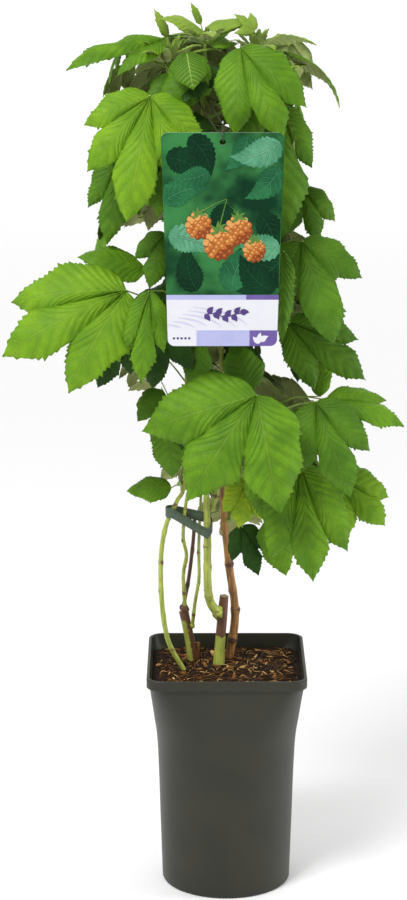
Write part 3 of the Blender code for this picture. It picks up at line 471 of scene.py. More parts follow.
def rings_along(path: Sequence[Vector], radii: Sequence[float], sides: int,
                level_foot: bool = False) -> list[Ring]:
    """Rings of points round a path, kept from twisting.

    Args:
        path: the centre line.
        radii: the radius at each of its points.
        sides: how many points a ring has.
        level_foot: whether the first ring is a level cut.

    Returns:
        One ring for each point of the path.
    """
    turn_from = Vector((1.0, 0.0, 0.0))
    rings = []
    for index, point in enumerate(path):
        along = (path[min(index + 1, len(path) - 1)] - path[max(index - 1, 0)]).normalized()
        if index == 0 and level_foot:
            along = UP.copy()
        across = turn_from = perpendicular(turn_from, along)
        other = along.cross(across)
        turns = (2 * math.pi * side / sides for side in range(sides))
        ring = (math.cos(turn) * across + math.sin(turn) * other for turn in turns)
        rings.append([point + radii[index] * out for out in ring])
    return rings


def circle_through(bm: Mesh, ring: Ring) -> list[bmesh.types.BMVert]:
    """Adds a circle bent to pass the points of a ring, and returns its corners in the ring's order."""
    made = bmesh.ops.create_circle(bm, cap_ends=False, segments=len(ring), radius=1.0)["verts"]
    made = sorted(made, key=lambda vert: math.atan2(vert.co.y, vert.co.x) % (2 * math.pi))
    for vert, point in zip(made, ring):
        vert.co = point
    return made


def skin(rings: Sequence[Ring], cyclic: bool = False, caps: bool = True) -> Mesh:
    """A skin over rings of points: a circle that is extruded from each ring to the next.

    Args:
        rings: the rings, each with the same count of points.
        cyclic: whether the last ring joins the first.
        caps: whether the ends are closed.

    Returns:
        A new mesh whose faces point outwards.
    """
    bm = bmesh.new()
    first = ring = circle_through(bm, rings[0])
    first_edges = edges = list(bm.edges)
    for points in rings[1:]:
        grown = bmesh.ops.extrude_edge_only(bm, edges=edges)["geom"]
        fresh = {item for item in grown if isinstance(item, bmesh.types.BMVert)}
        ring = [next(e.other_vert(v) for e in v.link_edges if e.other_vert(v) in fresh) for v in ring]
        edges = [e for e in grown if isinstance(e, bmesh.types.BMEdge) and fresh.issuperset(e.verts)]
        for vert, point in zip(ring, points):
            vert.co = point
    if cyclic:
        bmesh.ops.bridge_loops(bm, edges=edges + first_edges)
    elif caps:
        bm.faces.new(first)
        bm.faces.new(ring)
    bmesh.ops.recalc_face_normals(bm, faces=bm.faces)
    return bm


class Piece:
    """One finished piece under construction: small meshes are taken into it one after another."""

    def __init__(self, name: str, materials: Sequence[bpy.types.Material]) -> None:
        """Starts an empty piece with its materials in the order of their slots."""
        self.name = name
        self.materials = materials
        self.bm = bmesh.new()
        self.bm.loops.layers.uv.new("surface")
        self.bm.verts.layers.float.new("mark")

    def take(self, part: Mesh, material: Optional[int] = None) -> None:
        """Moves a mesh into the piece.

        Args:
            part: the mesh, which is freed.
            material: the slot that all its faces take, or None to keep their own.
        """
        if material is not None:
            for face in part.faces:
                face.material_index = material
        mesh = bpy.data.meshes.new("part")
        part.to_mesh(mesh)
        part.free()
        self.bm.from_mesh(mesh)
        bpy.data.meshes.remove(mesh)

    def finish(self, slot: str, nodes: Iterable[str], sharp: float = 50.0) -> bpy.types.Object:
        """Turns the piece into an object that rides on the part's one body.

        Args:
            slot: the record's material slot, which is not used.
            nodes: the solids that it stands for.
            sharp: the angle in degrees past which an edge stays sharp.

        Returns:
            The object, with its place in its mesh.
        """
        mesh = bpy.data.meshes.new(self.name)
        self.bm.to_mesh(mesh)
        self.bm.free()
        for material in self.materials:
            mesh.materials.append(material)
        mesh.shade_smooth()
        mesh.set_sharp_from_angle(angle=math.radians(sharp))
        obj = bpy.data.objects.new(self.name, mesh)
        bpy.context.scene.collection.objects.link(obj)
        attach(obj, "root")
        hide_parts(*nodes)
        LOG.info("%s: %d faces, for %s", self.name, len(mesh.polygons), ", ".join(nodes))
        return obj


class Graph:
    """A node tree under construction."""

    MIX_A, MIX_B, MIX_RESULT = 6, 7, 2

    def __init__(self, tree: bpy.types.NodeTree) -> None:
        """Takes the tree that the nodes go into."""
        self.tree = tree

    def add(self, kind: str, inputs: Optional[dict] = None, **settings: object) -> bpy.types.Node:
        """Adds a node.

        Args:
            kind: the node's type.
            inputs: values and sockets by the input's name or place.
            settings: the node's own properties.

        Returns:
            The new node.
        """
        node = self.tree.nodes.new(kind)
        for name, value in settings.items():
            setattr(node, name, value)
        for key, value in (inputs or {}).items():
            if isinstance(value, Socket):
                self.tree.links.new(value, node.inputs[key])
            else:
                node.inputs[key].default_value = value
        return node

    def math(self, operation: str, a: object, b: object = 0.0) -> Socket:
        """Adds a Math node and returns what it puts out."""
        return self.add("ShaderNodeMath", {0: a, 1: b}, operation=operation).outputs[0]

    def mix(self, share: object, a: object, b: object) -> Socket:
        """Adds a colour mix from a to b and returns what it puts out."""
        sockets = {0: share, self.MIX_A: rgba(a), self.MIX_B: rgba(b)}
        return self.add("ShaderNodeMix", sockets, data_type="RGBA").outputs[self.MIX_RESULT]

    def fit(self, value: object, low: float, high: float) -> Socket:
        """Maps a value's range from low to high smoothly onto 0 to 1."""
        node = self.add("ShaderNodeMapRange", {"Value": value, "From Min": low, "From Max": high},
                        interpolation_type="SMOOTHSTEP")
        return node.outputs["Result"]

    def noise(self, scale: float, detail: float = 2.0, stretch: tuple = (1.0, 1.0, 1.0)) -> Socket:
        """Adds noise on the piece's Object coordinates and returns its value.

        Args:
            scale: how fine the noise is, per metre.
            detail: how many finer layers it has.
            stretch: what each coordinate is multiplied by first.

        Returns:
            The noise's value, about 0.5 on average.
        """
        place = self.add("ShaderNodeTexCoord").outputs["Object"]
        mapped = self.add("ShaderNodeMapping", {"Vector": place, "Scale": stretch}).outputs[0]
        return self.add("ShaderNodeTexNoise", {"Vector": mapped, "Scale": scale, "Detail": detail}).outputs[0]

    def swing(self, scale: float, detail: float, amount: float) -> Socket:
        """Adds noise that swings round 0 by up to half an amount to each side."""
        return self.math("MULTIPLY", self.math("SUBTRACT", self.noise(scale, detail), 0.5), amount)


def rgba(color: object) -> object:
    """A colour with full alpha, or the socket that was given."""
    return (*color, 1.0) if isinstance(color, tuple) else color


def shared_group(name: str, sockets: Sequence[tuple[str, str, str]]) -> tuple[Graph, dict, bpy.types.Node]:
    """Starts a shader node group.

    Args:
        name: the group's name.
        sockets: for each socket its name, whether it is INPUT or OUTPUT, and its type.

    Returns:
        The group's graph, its inputs by name, and its output node.
    """
    tree = bpy.data.node_groups.new(name, "ShaderNodeTree")
    for title, way, kind in sockets:
        tree.interface.new_socket(name=title, in_out=way, socket_type=kind)
    graph = Graph(tree)
    given = {socket.name: socket for socket in graph.add("NodeGroupInput").outputs}
    return graph, given, graph.add("NodeGroupOutput")


def make_mottle() -> bpy.types.NodeTree:
    """Builds the group that varies a colour in soft patches and fine specks."""
    graph, given, out = shared_group("mottle", (
        ("Color", "INPUT", "NodeSocketColor"), ("Patch Color", "INPUT", "NodeSocketColor"),
        ("Scale", "INPUT", "NodeSocketFloat"), ("Amount", "INPUT", "NodeSocketFloat"),
        ("Color", "OUTPUT", "NodeSocketColor"),
    ))
    place = graph.add("ShaderNodeTexCoord").outputs["Object"]
    noise_inputs = {"Vector": place, "Scale": given["Scale"], "Detail": 3.0}
    patches = graph.add("ShaderNodeTexNoise", noise_inputs).outputs[0]
    mask = graph.math("MULTIPLY", graph.fit(patches, 0.35, 0.68), given["Amount"])
    graph.tree.links.new(graph.mix(mask, given["Color"], given["Patch Color"]), out.inputs["Color"])
    return graph.tree


# How a blade's map is read: `reach` runs from the midrib (0) to the edge (1), and `away` from halfway
# between two side veins (0) to the middle of one (0.5).
MOST_VEINS = 16.0
MIDRIB = (0.045, 0.012)
# Painted shade: the ranges of the darkening in the folds beside the midrib and between the side veins, and
# near the leaflets' base.
MIDRIB_FOLD_SHADE = (0.16, 0.02)
VEIN_FOLD_SHADE = (0.22, 0.49)
VEIN_END = (1.0, 0.7)
HUB_SHADE = (0.26, 0.0)
HUB_SHADE_SHARE = 0.9
VEIN_WOBBLE = (260.0, 1.0, 0.16)
NET_SCALE = 620.0
NET_LINE = 0.18
NET_HEIGHT = 0.3


def make_veins() -> bpy.types.NodeTree:
    """Builds the group that reads a blade's map for its veins, a mask of painted shade in the folds between
    them and near the leaflets' base, and a height.
    """
    graph, given, out = shared_group("leaf_veins", (
        ("Width", "INPUT", "NodeSocketFloat"), ("Vein", "OUTPUT", "NodeSocketFloat"),
        ("Valley", "OUTPUT", "NodeSocketFloat"), ("Height", "OUTPUT", "NodeSocketFloat"),
    ))
    place = graph.add("ShaderNodeUVMap", uv_map="surface").outputs[0]
    axes = graph.add("ShaderNodeSeparateXYZ", {0: place}).outputs
    off_middle = graph.math("ABSOLUTE", graph.math("SUBTRACT", axes[0], 0.5))
    reach = graph.math("MULTIPLY", off_middle, 2.0)
    phase = graph.math("MULTIPLY", axes[1], MOST_VEINS)
    turned = graph.math("FRACT", graph.math("ADD", phase, graph.swing(*VEIN_WOBBLE)))
    away = graph.math("ABSOLUTE", graph.math("SUBTRACT", turned, 0.5))
    edge = graph.fit(reach, *VEIN_END)
    border = graph.math("SUBTRACT", 0.5, given["Width"])
    side_vein = graph.math("MULTIPLY", graph.fit(away, border, 0.5), edge)
    vein = graph.math("MAXIMUM", graph.fit(reach, *MIDRIB), side_vein)
    # Painted shade: darker in the folds between the veins and beside the midrib, and near the base where the
    # leaflets join.
    vein_fold_shade = graph.math("MAXIMUM", graph.fit(away, *VEIN_FOLD_SHADE), graph.fit(reach, *MIDRIB_FOLD_SHADE))
    base_shade = graph.math("MULTIPLY", graph.fit(axes[1], *HUB_SHADE), HUB_SHADE_SHARE)
    fold_shade = graph.math("MAXIMUM", vein_fold_shade, base_shade)
    net = graph.add("ShaderNodeTexVoronoi", {
        "Vector": graph.add("ShaderNodeTexCoord").outputs["Object"], "Scale": NET_SCALE,
    }, feature="DISTANCE_TO_EDGE").outputs["Distance"]
    fine = graph.math("MULTIPLY", graph.fit(net, 0.0, NET_LINE), NET_HEIGHT)
    height = graph.math("SUBTRACT", fine, vein)
    for title, socket in (("Vein", vein), ("Valley", fold_shade), ("Height", height)):
        graph.tree.links.new(socket, out.inputs[title])
    return graph.tree


class Groups:
    """The shader node groups that several materials share, each built once."""

    mottle: bpy.types.NodeTree
    veins: bpy.types.NodeTree

    @classmethod
    def build(cls) -> None:
        """Builds the groups."""
        cls.mottle = make_mottle()
        cls.veins = make_veins()


def new_material(name: str, roughness: float, specular: float = 0.5) -> tuple[bpy.types.Material, Graph]:
    """Starts a material and returns it with its graph."""
    material = bpy.data.materials.new(name)
    material.use_nodes = True
    shader = material.node_tree.nodes["Principled BSDF"]
    shader.inputs["Roughness"].default_value = roughness
    shader.inputs["Specular IOR Level"].default_value = specular
    return material, Graph(material.node_tree)


def mottled(graph: Graph, color: object, patch: object, scale: float, amount: float) -> Socket:
    """Places the mottle group with its values and returns its colour."""
    values = {"Color": rgba(color), "Patch Color": rgba(patch), "Scale": scale, "Amount": amount}
    return graph.add("ShaderNodeGroup", values, node_tree=Groups.mottle).outputs["Color"]


def finish_surface(graph: Graph, color: Socket, height: Socket, distance: float, strength: float) -> None:
    """Feeds a material's shader its colour and, through a Bump node, its relief."""
    shader = graph.tree.nodes["Principled BSDF"]
    graph.tree.links.new(color, shader.inputs["Base Color"])
    bump = graph.add("ShaderNodeBump", {"Height": height, "Distance": distance, "Strength": strength})
    graph.tree.links.new(bump.outputs["Normal"], shader.inputs["Normal"])


@dataclass(frozen=True)
class LeafFinish:
    """A leaf surface: the colours of its fields, of its patches, of the painted shade in its folds and near
    its base (print, on the tag's printed leaves), and of its veins.
    """

    name: str
    color: Color
    patch: Color
    vein: Color
    vein_share: float = 0.22
    roughness: float = 0.5
    relief: float = 0.0004
    vein_width: float = 0.07
    specular: float = 0.14
    # How strong and how dark the painted shade in the folds and near the base is.
    fold_shade_share: float = 0.45
    fold_shade_tone: float = 0.75
    patches: tuple = (38.0, 0.75)
    specks: tuple = (420.0, 0.3)

    def material(self) -> bpy.types.Material:
        """Builds the material."""
        material, graph = new_material(self.name, self.roughness, self.specular)
        veins = graph.add("ShaderNodeGroup", {"Width": self.vein_width}, node_tree=Groups.veins)
        base = mottled(graph, self.color, self.patch, *self.patches)
        speck = mottled(graph, base, self.patch, *self.specks)
        # Painted shade: the folds and the base darken unevenly towards a dark copy of the patch colour.
        deep = tuple(self.fold_shade_tone * channel for channel in self.patch)
        depth = graph.math("MULTIPLY", veins.outputs["Valley"], self.fold_shade_share)
        uneven = graph.math("MULTIPLY", depth, graph.fit(graph.noise(55.0, 1.0), 0.15, 0.75))
        shaded = graph.mix(uneven, speck, deep)
        share = graph.math("MULTIPLY", veins.outputs["Vein"], self.vein_share)
        color = graph.mix(share, shaded, self.vein)
        finish_surface(graph, color, veins.outputs["Height"], self.relief, 0.5)
        return material


@dataclass(frozen=True)
class BarkFinish:
    """A cane's bark: its colour, its streaks along the cane and the colour round its nodes."""

    name: str
    color: Color
    streak: Color
    mark: Color
    roughness: float = 0.5
    streak_share: float = 0.7
    relief: float = 0.0004
    stretch: tuple = (1.0, 1.0, 0.1)
    mark_border: tuple = (0.3, 0.62)
    raggedness: float = 0.9

    def material(self) -> bpy.types.Material:
        """Builds the material."""
        material, graph = new_material(self.name, self.roughness)
        streaks = graph.noise(420.0, 3.0, self.stretch)
        share = graph.math("MULTIPLY", graph.fit(streaks, 0.42, 0.62), self.streak_share)
        soft = mottled(graph, graph.mix(share, self.color, self.streak), self.mark, 90.0, 0.25)
        mark = graph.add("ShaderNodeAttribute", attribute_name="mark").outputs["Fac"]
        ragged = graph.math("ADD", mark, graph.swing(520.0, 2.0, self.raggedness))
        broken = graph.fit(ragged, *self.mark_border)
        color = graph.mix(broken, soft, self.mark)
        finish_surface(graph, color, streaks, self.relief, 0.6)
        return material


@dataclass(frozen=True)
class PlainFinish:
    """A surface with soft patches and a fine grain."""

    name: str
    color: Color
    patch: Color
    scale: float = 60.0
    amount: float = 0.5
    roughness: float = 0.5
    grain: float = 900.0
    relief: float = 0.0001
    bump: float = 0.3
    specular: float = 0.5

    def material(self) -> bpy.types.Material:
        """Builds the material."""
        material, graph = new_material(self.name, self.roughness, self.specular)
        color = mottled(graph, self.color, self.patch, self.scale, self.amount)
        finish_surface(graph, color, graph.noise(self.grain, 3.0), self.relief, self.bump)
        return material


class Cane:
    """A limb's smooth centre line and radii, with the questions that the side shoots ask of it."""

    def __init__(self, limb: Limb) -> None:
        """Works the centre line out as the solid has it."""
        self.limb = limb
        self.path = curve_through(limb.path, 3)
        self.radii = tapered(limb.foot, limb.tip, len(self.path))

    def at(self, height: float) -> tuple[Vector, float, Vector]:
        """The centre and radius at a height, and the centre line's direction there."""
        for index, (low, high) in enumerate(zip(self.path, self.path[1:])):
            if low.z <= height <= high.z:
                share = (height - low.z) / (high.z - low.z)
                radius = self.radii[index] + share * (self.radii[index + 1] - self.radii[index])
                return low.lerp(high, share), radius, (high - low).normalized()
        raise ValueError(f"{self.limb.name} doesn't pass {height}")

    def end(self) -> tuple[Vector, Vector]:
        """The tip and the direction there."""
        return self.path[-1], (self.path[-1] - self.path[-2]).normalized()


def outline(t: float) -> float:
    """A solid leaflet's half width as a share of its greatest, from its base (0) to its tip (1)."""
    return 3.21 * t ** 0.6 * max(1 - t, 0.0) ** 1.25


def full_outline(t: float) -> float:
    """The half width of a fine leaflet in the same way, which has fuller sides."""
    return 2.86 * t ** 0.6 * max(1 - t, 0.0)


@dataclass(frozen=True)
class Leaflet:
    """One leaflet's midrib from base to tip, the direction of its upper side and its half width."""

    base: Vector
    tip: Vector
    up: Vector
    half_width: float
    arch: float

    def point(self, t: float, side: float) -> Vector:
        """A point of the blade: t runs along the midrib, and side from -1 to 1 across."""
        chord = self.tip - self.base
        length = chord.length
        across = chord.cross(self.up).normalized()
        half = self.half_width * outline(t)
        return (self.base + t * chord + self.arch * length * 4 * t * (1 - t) * self.up
                + side * half * across - EDGE_DROP * half * side * side * self.up)

    def thickness(self) -> float:
        """How thick the solid is at the midrib."""
        return (self.tip - self.base).length * THICKNESS_SHARE + LEAST_THICKNESS


def leaflets_of(leaf: Leaf) -> list[Leaflet]:
    """The leaflets of a compound leaf in their order round it: the end one has its pairs to both sides."""
    hub, tip = Vector(leaf.hub), Vector(leaf.tip)
    axis = (tip - hub).normalized()
    length = (tip - hub).length
    lean = math.radians(leaf.face)
    up = perpendicular(math.cos(lean) * UP + math.sin(lean) * unit(leaf.facing), axis)
    found = [Leaflet(hub, tip, up, length * leaf.width / 2, leaf.arch)]
    for pair in range(leaf.leaflets // 2):
        reach = length * leaf.side * (OUTER_SHARE if pair else 1.0)
        angle = leaf.spread * (OUTER_SPREAD if pair else 1.0)
        for side in (-1, 1):
            turned = Quaternion(up, math.radians(side * angle)) @ axis
            away = (turned - SIDE_SAG * UP).normalized()
            end = hub + reach * away
            leaflet = Leaflet(hub, end, perpendicular(up, away), reach * leaf.width / 2, leaf.arch)
            found.insert(len(found) if side > 0 else 0, leaflet)
    return found


def notches_of(leaf: Leaf, leaflets: Sequence[Leaflet]) -> list[Vector]:
    """The points where the cuts between neighbouring leaflets begin."""
    pairs = zip(leaflets, leaflets[1:])
    return [a.point(leaf.notch, -1).lerp(b.point(leaf.notch, 1), 0.5) for a, b in pairs]


def plain_blade(leaf: Leaf, extra: float = 0.0) -> Mesh:
    """The coarse closed blade that the solids have, which keeps room for the fine one.

    Args:
        leaf: the leaf.
        extra: how much it is thickened on each side.

    Returns:
        A new mesh.
    """
    bm = bmesh.new()
    leaflets = leaflets_of(leaf)
    middle = leaflets[len(leaflets) // 2]
    lift = (middle.thickness() / 2 + extra) * middle.up
    hub = (bm.verts.new(middle.base + lift), bm.verts.new(middle.base - lift))
    ends = leaflets[0].point(BASE_STATION, 1), leaflets[-1].point(BASE_STATION, -1)
    bases = [bm.verts.new(point) for point in (ends[0], *notches_of(leaf, leaflets), ends[1])]
    for index, leaflet in enumerate(leaflets):
        tip = bm.verts.new(leaflet.tip)
        lift = (leaflet.thickness() / 2 + extra) * leaflet.up
        line = [leaflet.point(t, 0) for t in STATIONS]
        rib = [(bm.verts.new(point + lift), bm.verts.new(point - lift)) for point in line]
        for side, base in ((1, bases[index]), (-1, bases[index + 1])):
            edge = [base] + [bm.verts.new(leaflet.point(t, side)) for t in STATIONS[1:]]
            for layer in (0, 1):
                spine = [hub[layer]] + [pair[layer] for pair in rib]
                bm.faces.new((spine[0], spine[1], edge[0]))
                for step in (1, 2):
                    bm.faces.new((spine[step], spine[step + 1], edge[step], edge[step - 1]))
                bm.faces.new((spine[3], tip, edge[2]))
    for base in (bases[0], bases[-1]):
        bm.faces.new((hub[0], hub[1], base))
    bmesh.ops.triangulate(bm, faces=bm.faces)
    return bm


def stalk_path(start: Vector, end: Vector, arch: float = STALK_ARCH) -> tuple[Vector, Vector, Vector]:
    """A stalk's start, its highest bow and its end, a little way inside the blade."""
    bow = start.lerp(end, 0.5) + arch * (end - start).length * UP
    return start, bow, end + STALK_HOLD * (end - bow).normalized()


def plain_stalk(start: Vector, end: Vector, extra: float = 0.0) -> Mesh:
    """The coarse three-sided stalk that the solids have."""
    path = curve_through(stalk_path(start, end), 2)
    radii = tapered(STALK_RADIUS + extra, 0.8 * STALK_RADIUS + extra, len(path))
    return skin(rings_along(path, radii, 3))


def between(table: Sequence[tuple], height: float) -> Optional[list[float]]:
    """The row of a table at a height, worked out from the rows below and above it, or None outside them."""
    for low, high in zip(table, table[1:]):
        if low[0] <= height <= high[0]:
            share = (height - low[0]) / (high[0] - low[0])
            return [a + share * (b - a) for a, b in zip(low, high)]
    return None


def point_in_crown(point: Vector, clearance: float) -> bool:
    """Whether a point is inside the crown, seen from above and from the front, and out of the windows."""
    round_crown = between(CROWN, point.z)
    seen = point.z + VIEW_RISE * point.y
    edges = between(FRONT_EDGES, seen)
    if not round_crown or not edges or not edges[1] < point.x < edges[2]:
        return False
    if math.hypot(point.x - CROWN_MIDDLE.x, point.y - CROWN_MIDDLE.y) > round_crown[1]:
        return False
    return all(math.hypot(point.x - x, seen - z) > radius + clearance for x, z, radius in WINDOWS)


def in_crown(leaf: Leaf) -> bool:
    """Whether a leaf drawn by rule keeps to the crown's outline and out of its gaps."""
    for leaflet in leaflets_of(leaf):
        clearance = 0.8 * leaflet.half_width
        if not all(point_in_crown(leaflet.point(t, 0), clearance) for t in (0.35, 0.7, 1.0)):
            return False
        if not all(point_in_crown(leaflet.point(0.5, side), 0.0) for side in (-1, 1)):
            return False
    return True


class Space:
    """What stands already, one search tree for each piece, so that a new piece is tried for room."""

    def __init__(self) -> None:
        """Starts with nothing standing."""
        self.trees: list[tuple[str, BVHTree]] = []

    def add(self, owner: str, bm: Mesh) -> None:
        """Takes a mesh in, and frees it."""
        self.trees.append((owner, BVHTree.FromBMesh(bm)))
        bm.free()

    def has_room(self, owner: str, bm: Mesh) -> bool:
        """Whether a mesh touches nothing but its own owner's meshes."""
        tried = BVHTree.FromBMesh(bm)
        return not any(tried.overlap(tree) for name, tree in self.trees if name != owner)


@dataclass
class Shoot:
    """A mass's stem and the leaves grown on it, each with the point where its stalk starts."""

    mass: Mass
    stem: list[Vector]
    leaves: list[tuple[Vector, Leaf]] = field(default_factory=list)


class Growth:
    """Grows the masses' leaves by the solids' rule, and then finer ones in the room that is left."""

    def __init__(self, canes: dict[str, Cane]) -> None:
        """Takes the canes, and as obstacles the frame's limbs and fittings."""
        self.canes = canes
        self.space = Space()
        self.shoots: dict[str, Shoot] = {}
        for name in (*canes, "tie", "hang_tag", "tag_loop"):
            bm = bmesh.new()
            bm.from_mesh(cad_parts[name].data)
            self.space.add(name, bm)

    def grow(self) -> dict[str, Shoot]:
        """Grows every mass and returns the shoots by name."""
        for mass in MASSES:
            self.start(mass)
        for mass in MASSES:
            for leaf in mass.leaves:
                self.place(mass, leaf)
        for index, mass in enumerate(MASSES):
            self.draw(mass, random.Random(SEED + index), mass.drawn, mass.length)
        for mass in MASSES:
            if mass.zone is Zone.CREST and mass.drawn:
                self.sprout(mass, random.Random(mass.name))
        for index, mass in enumerate(MASSES):
            self.draw(mass, random.Random(FINE_SEED + index), FINE_LEAVES, FINE_LENGTH)
        for index, name in enumerate(INNER_CANES):
            self.fill(self.canes[name], random.Random(INNER_SEED + index))
        return self.shoots

    def fill(self, cane: Cane, chance: random.Random) -> None:
        """Grows small leaves inside the crown in the darkest green, painted shade, on short stalks from a
        cane.

        Args:
            cane: the cane.
            chance: the seeded source of the draws.
        """
        owners = [shoot for shoot in self.shoots.values() if shoot.mass.limb == cane.limb.name]
        low, high = INNER_HEIGHTS
        for step in range(INNER_LEAVES):
            height = low + (min(high, cane.path[-1].z - INNER_WANDER) - low) * step / INNER_LEAVES
            shoot = min(owners, key=lambda owner: abs(owner.stem[0].z - height))
            for _ in range(INNER_DRAWS):
                foot, radius, _ = cane.at(height + chance.uniform(0, INNER_WANDER))
                bearing = chance.uniform(0, 360)
                root = foot + radius * unit(bearing)
                hub = foot + chance.uniform(*INNER_REACH) * unit(bearing) + chance.uniform(*INNER_RISE) * UP
                dip = math.radians(chance.uniform(*INNER_DIP))
                length = chance.uniform(*INNER_LENGTH)
                tip = hub + length * (math.cos(dip) * unit(bearing) - math.sin(dip) * UP)
                spread, face = chance.uniform(*INNER_SPREAD), chance.uniform(*INNER_FACE)
                # The darkest tint paints the shade inside the crown.
                leaf = Leaf(tuple(hub), tuple(tip), 3, spread, face, facing=bearing, tint=Tint.DEEP)
                if in_crown(leaf) and self.try_leaf(shoot.mass, leaf, root):
                    break

    def sprout(self, mass: Mass, chance: random.Random) -> None:
        """Grows the narrow young leaflets at a shoot's tip, upright inside and spreading outside."""
        end = self.shoots[mass.name].stem[-1]
        for step in range(SPROUTS):
            age = step / SPROUTS
            bearing = GOLDEN_ANGLE * step + chance.uniform(-15, 15)
            climb = math.radians(mixed(SPROUT_CLIMB, age))
            length = mixed(SPROUT_LENGTH, age) * chance.uniform(0.8, 1.25)
            hub = end + mixed(SPROUT_REACH, age) * unit(bearing) + chance.uniform(0.001, 0.006) * UP
            tip = hub + length * (math.cos(climb) * unit(bearing) + math.sin(climb) * UP)
            leaf = Leaf(tuple(hub), tuple(tip), 1, face=50, width=chance.uniform(*SPROUT_WIDTH),
                        facing=bearing + 180, tint=Tint.YOUNG, pleat=SPROUT_PLEAT)
            if in_crown(leaf):
                self.try_leaf(mass, leaf)

    def start(self, mass: Mass) -> None:
        """Lays the mass's stem: from its limb's side, 0.3 mm clear, or on from the limb's tip."""
        cane = self.canes[mass.limb]
        if mass.leaves:
            target = sum((Vector(leaf.hub) for leaf in mass.leaves), Vector()) / len(mass.leaves)
        else:
            foot, _, _ = cane.at(mass.height)
            target = foot + 0.055 * unit(mass.bearing) + Vector((0, 0, 0.035))
        if mass.height:
            foot, radius, along = cane.at(mass.height)
            away = perpendicular(perpendicular(target - foot, UP), along)
            start = foot + (radius + GAP) * away
            path = [start, start + 0.004 * away, foot.lerp(target, STEM_REACH)]
        else:
            foot, along = cane.end()
            start = foot + GAP * along
            path = [start, start + 0.006 * along, foot.lerp(target, 0.6)]
        path = [path[0]] + curve_through(path[1:], 2)
        radii = tapered(STEM_RADIUS, 0.8 * STEM_RADIUS, len(path))
        self.space.add(mass.name, skin(rings_along(path, radii, 5)))
        self.shoots[mass.name] = Shoot(mass, path)

    def try_leaf(self, mass: Mass, leaf: Leaf, root: Optional[Vector] = None) -> bool:
        """Adds the leaf if it has room, and says whether it did.

        Args:
            mass: the mass that it belongs to.
            leaf: the leaf.
            root: where its stalk starts, if not near the end of the mass's stem.

        Returns:
            Whether it had room.
        """
        shoot = self.shoots[mass.name]
        hub = Vector(leaf.hub)
        guards = [plain_blade(leaf, ROOM)]
        if root is None:
            root = shoot.stem[-1].lerp(shoot.stem[-2], 0.15 * (len(shoot.leaves) % 3))
            guards.append(plain_stalk(root, hub, ROOM))
        fits = all(self.space.has_room(mass.name, guard) for guard in guards)
        for guard in guards:
            guard.free()
        if fits:
            self.space.add(mass.name, plain_stalk(root, hub))
            self.space.add(mass.name, plain_blade(leaf))
            shoot.leaves.append((root, leaf))
        return fits

    def place(self, mass: Mass, leaf: Leaf) -> None:
        """Places a given leaf, nudged towards or away from the front, and tilted, until it has room."""
        for step in range(NUDGES):
            shift = Vector((0, NUDGE * ((step + 1) // 2) * (-1 if step % 2 else 1), 0))
            tilt = NUDGE_TILT * (step // 2) * (-1 if step % 4 < 2 else 1)
            hub, tip = Vector(leaf.hub) + shift, Vector(leaf.tip) + shift
            if self.try_leaf(mass, replace(leaf, hub=tuple(hub), tip=tuple(tip), face=leaf.face + tilt)):
                return

    def draw(self, mass: Mass, chance: random.Random, count: int, size: float) -> None:
        """Draws leaves by rule: they leave the stem's end a golden angle apart and hang outwards.

        Args:
            mass: the mass that they belong to.
            chance: the seeded source of the draws.
            count: how many leaves to grow.
            size: their usual length.
        """
        end = self.shoots[mass.name].stem[-1]
        grown = 0
        for step in range(DRAWS * count):
            if grown == count:
                break
            swing = (GOLDEN_ANGLE * step) % DRAWN_FAN - DRAWN_FAN / 2
            bearing = mass.bearing + swing + chance.uniform(-DRAWN_WANDER, DRAWN_WANDER)
            length = size * chance.uniform(*DRAWN_LENGTH)
            hub = end + chance.uniform(*DRAWN_REACH) * unit(bearing)
            hub.z += chance.uniform(*DRAWN_RISE)
            dip = math.radians(chance.uniform(*DRAWN_DIP))
            tip = hub + length * math.cos(dip) * unit(bearing)
            tip.z -= length * math.sin(dip)
            spread, face = chance.uniform(*DRAWN_SPREAD), chance.uniform(*DRAWN_FACE)
            leaf = Leaf(tuple(hub), tuple(tip), 3, spread, face, facing=bearing)
            if in_crown(leaf) and self.try_leaf(mass, leaf):
                grown += 1


@dataclass(frozen=True)
class BladeDetail:
    """How finely a blade is made, by the length of its end leaflet."""

    veins: int
    rows_per_vein: int
    columns: int
    teeth: tuple

    @property
    def rows(self) -> int:
        """How many steps a leaflet has from its base to its tip."""
        return (self.veins + 1) * self.rows_per_vein


LARGE = BladeDetail(10, 4, 8, (1.0, 0.1, 0.6, 0.0))
MEDIUM = BladeDetail(8, 4, 6, (1.0, 0.1, 0.6, 0.0))
SMALL = BladeDetail(5, 2, 4, (1.0, 0.0))
PLEATED = BladeDetail(13, 4, 8, (1.0, 0.1, 0.6, 0.0))
LARGE_FROM = 0.068
MEDIUM_FROM = 0.04


def detail_of(leaf: Leaf) -> BladeDetail:
    """How finely a leaf is made."""
    if leaf.tint is Tint.PLEATED:
        return PLEATED
    return LARGE if leaf.length > LARGE_FROM else (MEDIUM if leaf.length > MEDIUM_FROM else SMALL)


